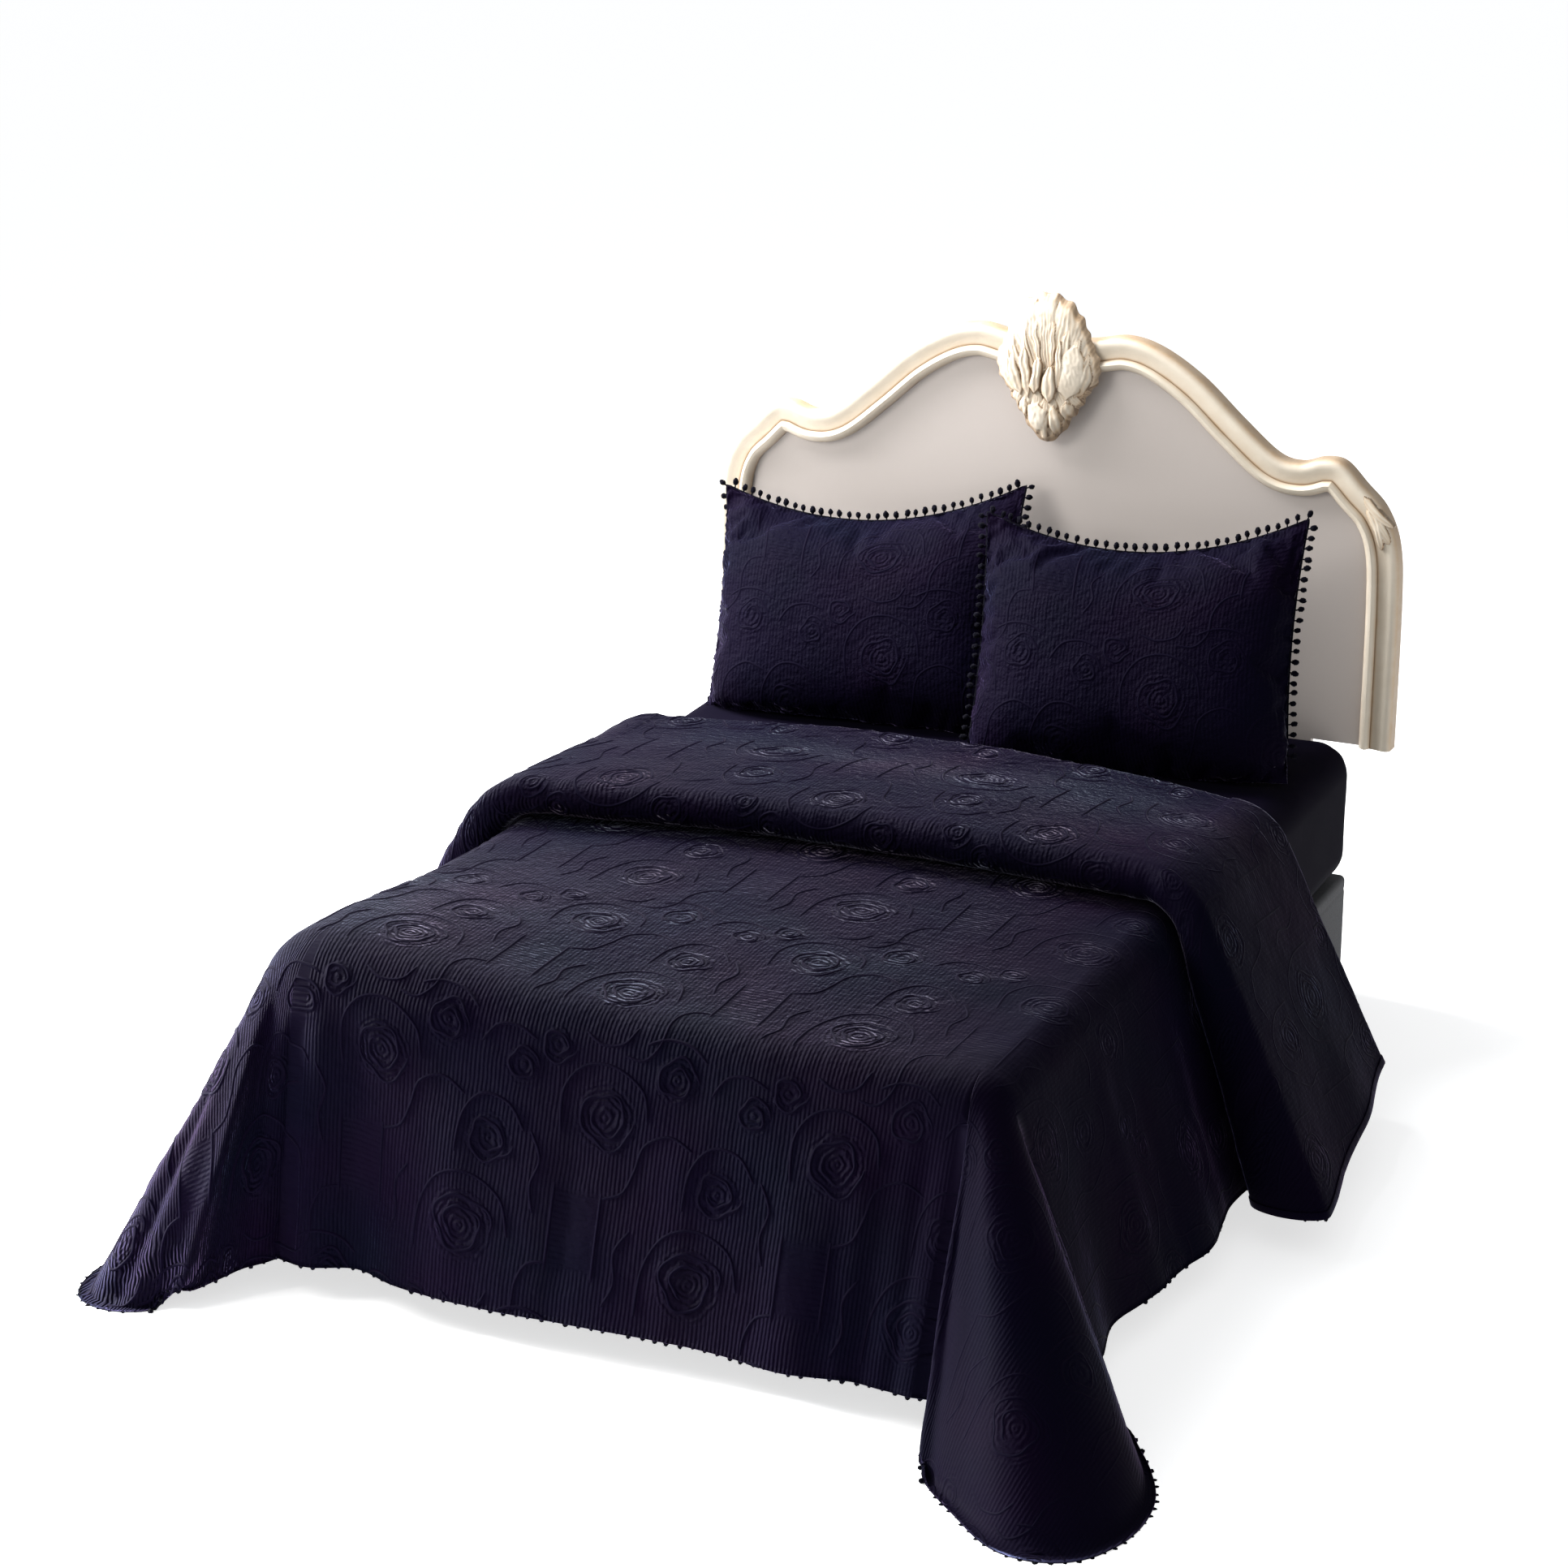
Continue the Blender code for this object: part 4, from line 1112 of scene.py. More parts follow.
def spread_relief(sections):
    """The height of the spread's puckers and creases, as a function of place."""
    fold_length = next(row[4] for row in sections if row[1] >= BACK_RADIUS)
    roll_length = next(row[4] for row in sections if row[2] >= 1.0)

    def height(point, flat, normal):
        soft = PUFF_RAISE * quilt_noise(flat.x, flat.y, PUFF_SIZE, 1.7)
        fine = CRINKLE_RAISE * quilt_noise(flat.x, flat.y * CRINKLE_LENGTHEN, CRINKLE_SIZE, 5.2)
        gathers = quilt_noise(flat.x, flat.y * GATHER_LENGTHEN, GATHER_PITCH, 9.1)
        patch = quilt_noise(flat.x, flat.y, GATHER_PATCH, 4.4)
        patch = ease(GATHER_PATCH_LEVEL + GATHER_PATCH_CONTRAST * patch)
        pulled = GATHER_RAISE * gathers * gathered(flat, roll_length) * patch
        shown = HIDDEN_RELIEF if HIDDEN_FROM < flat.y < fold_length else 1.0
        return (soft + fine) * shown + pulled + crease_height(flat)

    return height, fold_length, roll_length


def edge_chain(rows, columns, deep):
    """Point numbers round the spread, `deep` points in from its edge."""
    left = [row[deep] for row in rows[:0:-1]]
    foot = [column[-1 - deep] for column in columns]
    return left + foot + [row[-1 - deep] for row in rows[1:]]


def flap_paths(cloth, rows, sections, roll_length):
    """The edges of the turned-back band's hanging ends, with their normals on the band's face."""
    first = next(k for k, row in enumerate(sections) if row[1] >= BACK_RADIUS)
    end = roll_length + math.pi * ROLL_RADIUS / 2
    last = next(k for k, row in enumerate(sections) if row[4] > end)
    flap = rows[first:last]
    paths = {
        "left": edge_path(cloth, [row[0] for row in flap], [row[1] for row in flap]),
        "right": edge_path(cloth, [row[-1] for row in flap], [row[-2] for row in flap]),
    }
    return {side: [(point, out, -normal) for point, out, normal in path] for side, path in paths.items()}


def build_spread(cloth_look, yarn_look):
    cloth, rows, columns, sections = drape_spread()
    height, fold_length, roll_length = spread_relief(sections)
    cloth.raise_by(height)
    for point in cloth.points:
        point.z = max(point.z, CLOTH / 2)
    chain = edge_chain(rows, columns, 0)
    inner = edge_chain(rows, columns, 1)
    under = [k for k, row in enumerate(sections) if row[1] == 0.0 and row[0] < HEM_TRIM_END_Y]
    skipped = len(rows) - 1 - under[-1]
    hem = slice(skipped, len(chain) - skipped)
    hem_path = edge_path(cloth, chain[hem], inner[hem])
    flaps = flap_paths(cloth, rows, sections, roll_length)
    find = cloth.finder()
    wrap_hem(cloth, chain, inner)
    spread = add_piece("bedspread_quilt", cloth.points, cloth.faces, cloth_look, cloth.flat)
    mark_pattern(spread, cloth.flat, 1.0, [spread_share(flat.x) for flat in cloth.flat])
    pulled = [max(gathered(flat, roll_length), tip_ribs(flat)) for flat in cloth.flat]
    set_attribute(spread, "gathered", pulled)
    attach(spread, "root")
    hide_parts("bedspread")

    def shown(u, v):
        if v < ROLL_Y + PATTERN_UNDER_ROLL:
            return 1
        return -1 if fold_length < v < roll_length + PATTERN_ROUND_ROLL else 0

    lines = pattern_lines(*PATTERN_SPAN)
    cords = raised_cords("bedspread_raised_pattern", find, lines, shown, cloth_look, spread_share)
    trims = [pompom_trim("spread_pompoms_hem", hem_path, yarn_look, HEM_SEED, "spread_trim_hem", "hem")]
    for side, seed in FLAP_SEEDS.items():
        name = "spread_pompoms_flap_" + side
        trims.append(pompom_trim(name, flaps[side], yarn_look, seed, "spread_trim_flap_" + side, "hem"))


# Shams

def sham_point(u, v, face):
    """A point of a filled sham in its own frame; face is -1 for the front and 1 for the back."""
    x = SHAM_WIDTH / 2 * u * (1.0 - SHAM_DRAW_SIDE * (1.0 - v * v))
    upper = ease((v - SHAM_SAG_FROM) / (1 - SHAM_SAG_FROM))
    z = SHAM_HEIGHT * ((v + 1) / 2 - SHAM_SAG * (1.0 - u * u) * upper)
    crown = ((1.0 - u**4) * (1.0 - v**4)) ** SHAM_CROWN_POWER
    full = 1.0 + SHAM_BELLY * (SHAM_BELLY_LEVEL - v)
    thick = SHAM_RIM / 2 + SHAM_FILL * crown * full
    return Vector((x, face * thick + SHAM_BEND * ((v + 1) / 2) ** 2, z))


def sham_place(point, spec):
    roll, lean, turn = math.radians(spec.roll), math.radians(spec.lean), math.radians(spec.turn)
    x = point.x * math.cos(roll) + point.z * math.sin(roll)
    z = point.z * math.cos(roll) - point.x * math.sin(roll) - spec.sink
    y = point.y * math.cos(lean) + z * math.sin(lean)
    z = z * math.cos(lean) - point.y * math.sin(lean)
    placed = Vector((
        spec.middle_x + x * math.cos(turn) - y * math.sin(turn),
        spec.bottom_y + x * math.sin(turn) + y * math.cos(turn),
        MATTRESS_TOP + SEAT_GAP + z,
    ))
    placed.z = max(placed.z, MATTRESS_TOP + SEAT_GAP)
    return placed


def edge_spaced(step, count):
    return math.sin(math.pi / 2 * (2 * step / count - 1))


# Creases of a sham's faces. Columns: start across and up, end across and up (-1 to 1), width, height
SHAM_CREASES = (
    (-0.96, 0.92, -0.55, 0.30, 0.030, -0.0050),
    (-0.90, 0.96, -0.35, 0.55, 0.026, 0.0040),
    (0.96, 0.92, 0.58, 0.35, 0.030, -0.0050),
    (0.88, 0.96, 0.38, 0.62, 0.026, 0.0045),
    (-0.96, -0.90, -0.60, -0.35, 0.032, 0.0040),
    (0.96, -0.90, 0.55, -0.40, 0.032, 0.0040),
    (-0.30, 0.98, -0.22, 0.62, 0.022, -0.0030),
    (0.05, 0.98, 0.08, 0.68, 0.022, 0.0030),
    (0.36, 0.98, 0.28, 0.60, 0.022, -0.0030),
    (-0.98, 0.10, -0.62, 0.02, 0.026, -0.0030),
    (0.98, -0.05, 0.64, 0.02, 0.026, 0.0030),
)


def sham_crease(u, v):
    height = 0.0
    for u0, v0, u1, v1, width, rise in SHAM_CREASES:
        ax, ay = (u1 - u0) * SHAM_WIDTH / 2, (v1 - v0) * SHAM_HEIGHT / 2
        px, py = (u - u0) * SHAM_WIDTH / 2, (v - v0) * SHAM_HEIGHT / 2
        length = math.hypot(ax, ay)
        along = (px * ax + py * ay) / length**2
        across = (px * ay - py * ax) / length
        fade = ease(along / SHAM_CREASE_START + 0.5) * ease((1.0 - along) / SHAM_CREASE_END)
        height += rise * ridge(across, 0.0, width) * fade
    return height


def sham_relief(u, v, seed):
    across, up = u * SHAM_WIDTH / 2, v * SHAM_HEIGHT / 2
    edge = (1.0 - u**6) * (1.0 - v**6)
    soft = SHAM_PUFF_RAISE * quilt_noise(across, up, SHAM_PUFF_SIZE, seed)
    fine = CRINKLE_RAISE * quilt_noise(across, up, CRINKLE_SIZE, seed + 3)
    near_top = ease((v - SHAM_GATHER_FROM) / SHAM_GATHER_FADE) * (1 - v**8)
    gathers = quilt_noise(across, v * SHAM_GATHER_LENGTHEN, SHAM_GATHER_PITCH, seed + 7)
    return (soft + fine + sham_crease(u, v)) * edge + SHAM_GATHER_RAISE * gathers * near_top


def sham_face(cloth, spec, face):
    """One face of a sham as rows of point numbers."""
    grid = []
    for j in range(SHAM_ROWS + 1):
        v = edge_spaced(j, SHAM_ROWS)
        row = []
        for i in range(SHAM_COLUMNS + 1):
            u = edge_spaced(i, SHAM_COLUMNS)
            point = sham_point(u, v, face)
            point.y += face * sham_relief(u, v, spec.seed + face)
            flat = (face + u * SHAM_WIDTH / 2, v * SHAM_HEIGHT / 2)
            row.append(cloth.add(sham_place(point, spec), flat))
        grid.append(row)
    for low, high in zip(grid, grid[1:]):
        cloth.strip(*((low, high) if face < 0 else (high, low)))
    return grid


def face_rim(grid):
    left = [row[0] for row in grid]
    right = [row[-1] for row in grid]
    return left[:-1] + grid[-1][:-1] + right[::-1][:-1] + grid[0][::-1]


def sham_cover(spec):
    """A sham's two faces, sewn together round their rims and filled."""
    cloth = Cloth()
    rims = [face_rim(sham_face(cloth, spec, face)) for face in (-1, 1)]
    cloth.strip(*rims)
    swell(cloth, set(rims[0] + rims[1]))
    return cloth


def faces_only(cloth):
    """A cloth without the narrow strip that joins its two faces."""
    found = Cloth()
    found.points = cloth.points
    found.flat = cloth.flat
    for face in cloth.faces:
        fronts = [cloth.flat[k].x < 0 for k in face]
        if all(fronts) or not any(fronts):
            found.faces.append(face)
    return found


def build_sham(spec, cloth_look, yarn_look):
    name = "sham_" + spec.name
    cloth = sham_cover(spec)
    find = faces_only(cloth).finder()
    sham = add_piece(name + "_cover", cloth.points, cloth.faces, cloth_look, cloth.flat)
    recalculate(sham)
    mark_pattern(sham, cloth.flat, SHAM_PATTERN, [1.0] * len(cloth.flat))
    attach(sham, "root")
    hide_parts(name)
    turn = math.radians(spec.turn)
    away = Vector((math.sin(turn), -math.cos(turn), SHAM_FACE_UP))

    def shown(u, v):
        face = -1 if u < 0 else 1
        if abs(u - face) >= SHAM_WIDTH * SHAM_PATTERN_WIDE or abs(v) >= SHAM_HEIGHT * SHAM_PATTERN_TALL:
            return 0
        found = find(u, v)
        if not found:
            return 0
        return 1 if found[1].dot(away * -face) > 0 else -1

    lines = pattern_lines(*SHAM_PATTERN_SPAN)
    raised_cords(name + "_raised_pattern", find, lines, shown, cloth_look, sham_share)
    path = sham_trim_path(spec)
    pompom_trim(name + "_pompoms", path, yarn_look, int(spec.seed * 10), name + "_trim", "sham")


def swell(cloth, held):
    """Let the filling press the cover out, with its seam held, so that it wrinkles as real cloth does."""
    cover = add_piece("cover_to_fill", cloth.points, cloth.faces, None)
    recalculate(cover)
    seam = cover.vertex_groups.new(name="seam")
    seam.add(list(held), 1.0, "REPLACE")
    filling = cover.modifiers.new("filling", "CLOTH")
    for name, value in SWELL_SETTINGS:
        setattr(filling.settings, name, value)
    filling.settings.effector_weights.gravity = 0.0
    filling.collision_settings.use_collision = False
    filling.point_cache.frame_end = SWELL_FRAMES
    scene = bpy.context.scene
    for frame_number in range(1, SWELL_FRAMES + 1):
        scene.frame_set(frame_number)
    shaped = cover.evaluated_get(bpy.context.evaluated_depsgraph_get())
    for k, point in enumerate(shaped.data.vertices):
        moved = point.co - cloth.points[k]
        if moved.length > SWELL_MOST:
            moved *= SWELL_MOST / moved.length
        cloth.points[k] += moved
        cloth.points[k].z = max(cloth.points[k].z, MATTRESS_TOP + SEAT_GAP)
    bpy.data.objects.remove(cover)
    scene.frame_set(1)


def recalculate(item):
    bm = bmesh.new()
    bm.from_mesh(item.data)
    bmesh.ops.recalc_face_normals(bm, faces=bm.faces)
    bm.to_mesh(item.data)
    bm.free()


def sham_trim_path(spec):
    """Up the left side, along the top and down the right side, outside the sham's edge."""
    steps = SHAM_TRIM_STEPS
    places = [(-1.0, SHAM_TRIM_FROM + (1.0 - SHAM_TRIM_FROM) * k / steps, (-1, 0)) for k in range(steps)]
    places.append((-1.0, 1.0, (-1, 1)))
    places += [(2 * k / steps - 1, 1.0, (0, 1)) for k in range(1, steps)]
    places.append((1.0, 1.0, (1, 1)))
    places += [(1.0, 1.0 - (1.0 - SHAM_TRIM_FROM) * k / steps, (1, 0)) for k in range(1, steps + 1)]
    middle = Vector((0, 0, SHAM_HEIGHT / 2))
    path = []
    for u, v, (out_x, out_z) in places:
        front = sham_place(sham_point(u, v, -1), spec)
        back = sham_place(sham_point(u, v, 1), spec)
        away = sham_place(middle + Vector((out_x, 0, out_z)), spec) - sham_place(middle, spec)
        away = away.normalized()
        normal = (front - back).normalized()
        turned = math.radians(spec.side_turn) * ease((1.0 - v) / SIDE_TURN_EASE) * (out_x < 0)
        out = away * math.cos(turned) - normal * math.sin(turned)
        path.append(((front + back) / 2, out, normal * math.cos(turned) + away * math.sin(turned)))
    return path


# Mattress and base

def span(low, high, radius, edge_steps, steps):
    """Places along one side of a rounded box, close together where it is round."""
    near = [radius * math.tan(math.pi / 4 * k / edge_steps) for k in range(edge_steps + 1)]
    start = [low + radius - reach for reach in near[::-1]]
    end = [high - radius + reach for reach in near]
    inner = [start[-1] + (end[0] - start[-1]) * k / steps for k in range(1, steps)]
    return start + inner + end


def rounded_box(low, high, radius, edge_steps, steps, height):
    """Points and faces of a box with round edges, each point moved out by height(point, normal)."""
    spans = [span(low[k], high[k], radius, edge_steps, steps[k]) for k in range(3)]
    found = {}
    points = []
    faces = []

    def corner(place):
        key = tuple(round(c, 6) for c in place)
        if key not in found:
            core = Vector(min(max(place[k], low[k] + radius), high[k] - radius) for k in range(3))
            normal = (Vector(place) - core).normalized()
            point = core + normal * radius
            found[key] = len(points)
            points.append(point + normal * height(point, normal))
        return found[key]

    for axis in range(3):
        first, second = [k for k in range(3) if k != axis]
        for end in (low[axis], high[axis]):
            for a, b in zip(spans[first], spans[first][1:]):
                for c, d in zip(spans[second], spans[second][1:]):
                    places = []
                    for p, q in ((a, c), (b, c), (b, d), (a, d)):
                        place = [0.0, 0.0, 0.0]
                        place[axis], place[first], place[second] = end, p, q
                        places.append(corner(place))
                    faces.append(places)
    return points, faces


# Creases of the fitted sheet at the head corners. Columns: side, turn in degrees, width, height
SHEET_CREASES = (
    (1, -150.0, 5.0, 0.0016),
    (1, -135.0, 5.0, -0.0012),
    (1, -118.0, 6.0, 0.0014),
    (-1, -30.0, 5.0, 0.0016),
    (-1, -45.0, 5.0, -0.0012),
    (-1, -62.0, 6.0, 0.0014),
)


# How finely each side of the boxes is drawn: steps of a round edge, and of the rest along x, y and z
MATTRESS_STEPS = (8, (40, 56, 6))
BASE_STEPS = (4, (30, 44, 60))
BASE_EDGE = 0.012
BASE_SEAM_DOWN = 0.03
SHEET_CREASE_REACH = 0.25


def sheet_height(point, normal):
    height = 0.0010 * noise.noise(point / 0.09) + 0.0004 * noise.noise(point / 0.03)
    for side, turn, width, rise in SHEET_CREASES:
        corner = Vector((side * CORNER_X, HEAD_Y))
        away = Vector((point.x, point.y)) - corner
        at = math.degrees(math.atan2(away.y, away.x))
        height += rise * ridge(at, turn, width) * math.exp(-away.length / SHEET_CREASE_REACH)
    return height if normal.z > -0.5 else 0.0


def base_height(point, normal):
    seam = ridge(point.z, BASE_HIGH.z - BASE_SEAM_DOWN, 0.003)
    level = 1.0 - abs(normal.z)
    return (-0.0015 * seam + 0.0006 * noise.noise(point / 0.12)) * level


def build_bed(sheet_look, base_look):
    points, faces = rounded_box(MATTRESS_LOW, MATTRESS_HIGH, MATTRESS_EDGE, *MATTRESS_STEPS, sheet_height)
    mattress = add_piece("mattress_with_fitted_sheet", points, faces, sheet_look)
    recalculate(mattress)
    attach(mattress, "root")
    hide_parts("mattress_in_fitted_sheet")
    points, faces = rounded_box(BASE_LOW, BASE_HIGH, BASE_EDGE, *BASE_STEPS, base_height)
    base = add_piece("upholstered_base", points, faces, base_look)
    recalculate(base)
    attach(base, "root")
    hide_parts("bed_base")


# Headboard

def board_edge():
    count = (len(BOARD_EDGE) - 1) * FRAME_STEPS
    points = [smooth_table(BOARD_EDGE, k / count) for k in range(count + 1)]
    ways = []
    for k, point in enumerate(points):
        along = points[min(k + 1, count)] - points[max(k - 1, 0)]
        ways.append(Vector((-along.y, along.x)).normalized())
    ways[0] = Vector((0.0, -1.0))
    ways[-1] = Vector((-1.0, 0.0))
    centre = Vector(BOARD_CENTRE)
    inward = [way if way.dot(centre - point) > 0 else -way for way, point in zip(ways, points)]
    return points, inward


def build_frame_half(side, look):
    name = "right" if side > 0 else "left"
    points, ways = board_edge()
    seat_x = CREST_SIDE * CREST_BLOCK * 0.9
    first = next(k for k, p in enumerate(points) if p.x > seat_x)
    places = []
    glaze_and_shade_values = []
    faces = []
    rings = []
    for point, way in zip(points[first - 1:], ways[first - 1:]):
        rings.append([len(places) + k for k in range(len(FRAME_PROFILE))])
        for inset, height, wash in FRAME_PROFILE:
            flat = point + way * inset
            places.append(Vector((side * max(flat.x, seat_x), BOARD_BACK_Y - height, flat.y)))
            glaze_and_shade_values.append(wash)
    join_rings(faces, rings)
    faces.append(rings[0])
    faces.append(rings[-1][::-1])
    half = add_piece("headboard_moulding_" + name, places, faces, look)
    recalculate(half)
    half.data.set_sharp_from_angle(angle=math.radians(MOULDING_SHARP))
    # Brown glaze with painted shade at each point, for the cream paint
    set_attribute(half, "wash", glaze_and_shade_values)
    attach(half, "root")
    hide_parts("headboard_frame_" + name)


def crest_reach(turn):
    turn = abs((turn + 180.0) % 360.0 - 180.0)
    for (low, reach), (high, following) in zip(CREST_EDGE, CREST_EDGE[1:]):
        if turn <= high:
            t = (turn - low) / (high - low)
            return reach + (following - reach) * ease(t) * 0.5 + (following - reach) * t * 0.5
    return CREST_EDGE[-1][1]


# Carved leaves and strands of the crest's right half. Columns: root x and z, tip x and z from the
# crest's middle, how far the leaf bows outwards, width, layer under it, height, fine cuts across it
CREST_LEAVES = (
    (0.050, -0.036, 0.124, 0.024, 0.010, 0.036, 0.001, 0.007, 2),
    (0.044, -0.030, 0.122, 0.064, 0.012, 0.040, 0.002, 0.007, 2),
    (0.036, -0.026, 0.106, 0.104, 0.014, 0.042, 0.003, 0.007, 3),
    (0.026, -0.022, 0.088, 0.156, 0.012, 0.052, 0.004, 0.007, 3),
    (0.014, -0.018, 0.050, 0.190, 0.008, 0.054, 0.005, 0.007, 3),
    (0.000, -0.014, 0.000, 0.210, 0.000, 0.050, 0.006, 0.007, 4),
    (0.056, -0.020, 0.092, 0.040, 0.010, 0.018, 0.007, 0.006, 1),
    (0.040, -0.014, 0.074, 0.074, 0.010, 0.017, 0.008, 0.006, 1),
    (0.026, -0.008, 0.048, 0.096, 0.006, 0.015, 0.008, 0.006, 1),
    (0.010, -0.002, 0.020, 0.104, 0.003, 0.013, 0.009, 0.006, 1),
    (0.048, -0.034, 0.100, -0.060, -0.006, 0.026, 0.002, 0.007, 2),
    (0.040, -0.038, 0.080, -0.094, -0.006, 0.026, 0.003, 0.007, 2),
    (0.028, -0.042, 0.056, -0.124, -0.004, 0.026, 0.004, 0.008, 3),
    (0.012, -0.046, 0.026, -0.148, -0.002, 0.026, 0.005, 0.008, 3),
    (0.000, -0.060, 0.000, -0.164, 0.000, 0.024, 0.007, 0.008, 2),
    (0.064, -0.058, 0.092, 0.020, 0.008, 0.024, 0.007, 0.007, 1),
)

# Leaves and bulbs on one side of its middle alone. Columns as above
CREST_SINGLES = (
    (0.046, -0.062, 0.064, 0.056, 0.004, 0.054, 0.011, 0.006, 0),
    (0.028, -0.040, 0.036, 0.070, 0.000, 0.016, 0.012, 0.006, 1),
    (-0.018, -0.056, -0.014, 0.022, 0.000, 0.027, 0.014, 0.009, 1),
    (0.012, -0.070, 0.014, 0.006, 0.000, 0.029, 0.014, 0.009, 1),
    (-0.056, -0.062, -0.072, 0.026, 0.004, 0.026, 0.010, 0.008, 1),
    (-0.036, -0.066, -0.046, 0.044, 0.002, 0.022, 0.011, 0.007, 1),
    (-0.012, -0.074, -0.020, -0.136, 0.000, 0.046, 0.012, 0.006, 0),
    (0.022, -0.074, 0.026, -0.146, 0.000, 0.024, 0.011, 0.008, 1),
    (0.046, -0.066, 0.060, -0.120, 0.000, 0.026, 0.010, 0.008, 1),
    (-0.044, -0.070, -0.056, -0.110, 0.000, 0.024, 0.010, 0.007, 1),
)

# The crest's carving, and the brown glaze and painted shade in it: painted shade at the leaves' edges, in
# their cuts, on the ground and at the rim
CREST_RIM_GLAZE_AND_SHADE = 1.1
CREST_RIM_FROM = 0.86
CREST_RIM_FADE = 0.1
CREST_WANDER = 0.0055
CREST_WANDER_SIZE = 0.028
CREST_EDGE_CUT = 0.0030
CREST_CUT_DEEP = 0.0016
LEAF_SWELLS_BY = 0.25
LEAF_ROOT = 0.15
LEAF_LOW = 0.45
CREST_SCALLOPS = 26
CREST_SCALLOP_DEEP = 0.035
CREST_TOOL_MARK = 0.0009
CREST_GROUND_GLAZE_AND_SHADE = 0.5
LEAF_EDGE_GLAZE_AND_SHADE = 1.9
CUT_GLAZE_AND_SHADE = 0.55
CURL_GLAZE_AND_SHADE = 0.5


def leaf_height(x, z, leaf):
    """The height of one carved leaf at a place, and how much brown glaze and painted shade lies there: most
    at its edges, less in its cuts and where it lies low.
    """
    root_x, root_z, tip_x, tip_z, bow, width, layer, rise, cuts = leaf
    ax, az = tip_x - root_x, tip_z - root_z
    length = math.hypot(ax, az)
    along = ((x - root_x) * ax + (z - root_z) * az) / length**2
    if not 0.0 < along < 1.0:
        return 0.0, 0.0
    bowed = 4 * bow * along * (1 - along) * (1 if tip_x >= 0 else -1)
    across = ((x - root_x) * az - (z - root_z) * ax) / length - bowed
    reach = width / 2 * ease(along / LEAF_SWELLS_BY + LEAF_ROOT) * (1 - along**5) ** 0.5
    if abs(across) >= reach:
        return 0.0, 0.0
    t = abs(across) / reach
    cut = 0.5 + 0.5 * math.cos(2 * math.pi * cuts * across / reach + 4 * along) if cuts else 1.0
    curl = LEAF_LOW + (1 - LEAF_LOW) * math.sin(math.pi * along**1.4)
    height = layer + rise * curl * (1 - t**4) ** 0.7 - CREST_CUT_DEEP * (1 - cut) * (1 - t)
    # Darker at the leaf's edge, in its cuts and where it lies low: brown glaze and painted shade
    edge = ease((reach - abs(across)) / CREST_EDGE_CUT)
    return height, LEAF_EDGE_GLAZE_AND_SHADE * (1 - edge) + CUT_GLAZE_AND_SHADE * (1 - cut) + CURL_GLAZE_AND_SHADE * (1 - curl)


def crest_relief(x, z):
    """The crest's carving at a place: its height and how much brown glaze and painted shade lies there."""
    drift = Vector((x / CREST_WANDER_SIZE, z / CREST_WANDER_SIZE, 6.4))
    x += CREST_WANDER * noise.noise(drift)
    z += CREST_WANDER * noise.noise(drift + Vector((9.0, 3.0, 0.0)))
    best, wash = 0.0, CREST_GROUND_GLAZE_AND_SHADE
    mirrored = tuple((-leaf[0], leaf[1], -leaf[2]) + leaf[3:] for leaf in CREST_LEAVES)
    for leaf in CREST_LEAVES + mirrored + CREST_SINGLES:
        height, cut = leaf_height(x, z, leaf)
        if height > best:
            best, wash = height, cut
    return best, wash


# How high the crest's ground stands. Columns: share of the way from its middle to its edge, level
CREST_LEVELS = (
    (0.00, 1.00),
    (0.18, 1.00),
    (0.45, 0.96),
    (0.72, 0.80),
    (0.92, 0.50),
    (1.00, 0.12),
)


def crest_level(share):
    for (low, level), (high, following) in zip(CREST_LEVELS, CREST_LEVELS[1:]):
        if share <= high:
            return level + (following - level) * ease((share - low) / (high - low))
    return CREST_LEVELS[-1][1]


def crest_point(turn, share, face_y):
    """A point of the carved face, at a turn from the top and a share of the way to the edge."""
    wave = 0.5 + 0.5 * math.cos(math.radians(turn * CREST_SCALLOPS))
    scallop = 1.0 - CREST_SCALLOP_DEEP * share**6 * wave
    reach = crest_reach(turn) * share * scallop
    x = reach * math.sin(math.radians(turn))
    z = reach * math.cos(math.radians(turn))
    height, wash = crest_relief(x, z)
    carved = CREST_GROUND * crest_level(share) * CREST_THICK + height * (1 - share**8)
    rough = CREST_TOOL_MARK * noise.noise(Vector((x / 0.006, z / 0.011, 2.0)))
    # Darker towards the crest's rim: painted shade with the glaze
    wash += CREST_RIM_GLAZE_AND_SHADE * ease((share - CREST_RIM_FROM) / CREST_RIM_FADE)
    return Vector((x, face_y - carved - rough, CREST_MIDDLE_Z + z)), wash


def build_crest(look):
    face_y = BOARD_BACK_Y - FRAME_FACE - SEAT_GAP
    back_y = PANEL_FRONT_Y - SEAT_GAP
    points = [Vector((0, face_y - CREST_THICK, CREST_MIDDLE_Z))]
    glaze_and_shade_values = [0.4]
    faces = []
    rings = []
    for ring in range(1, CREST_RINGS + 1):
        rings.append([len(points) + k for k in range(CREST_AROUND)])
        for k in range(CREST_AROUND):
            turn = 360.0 * k / CREST_AROUND
            point, wash = crest_point(turn, ring / CREST_RINGS, face_y)
            points.append(point)
            glaze_and_shade_values.append(wash)
    for k in range(CREST_AROUND):
        faces.append([0, rings[0][k], rings[0][(k + 1) % CREST_AROUND]])
    edge = [points[k] for k in rings[-1]]
    # The crest's rim side and back are given full brown glaze and painted shade
    for share, y in ((1.0, face_y), (CREST_BLOCK, face_y), (CREST_BLOCK, back_y)):
        rings.append([len(points) + k for k in range(CREST_AROUND)])
        for source in edge:
            z = CREST_MIDDLE_Z + (source.z - CREST_MIDDLE_Z) * share
            points.append(Vector((source.x * share, y, z)))
            glaze_and_shade_values.append(1.0)
    join_rings(faces, rings)
    faces.append(rings[-1][::-1])
    crest = add_piece("headboard_carved_crest", points, faces, look)
    recalculate(crest)
    set_attribute(crest, "wash", glaze_and_shade_values)
    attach(crest, "root")
    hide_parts("headboard_crest")


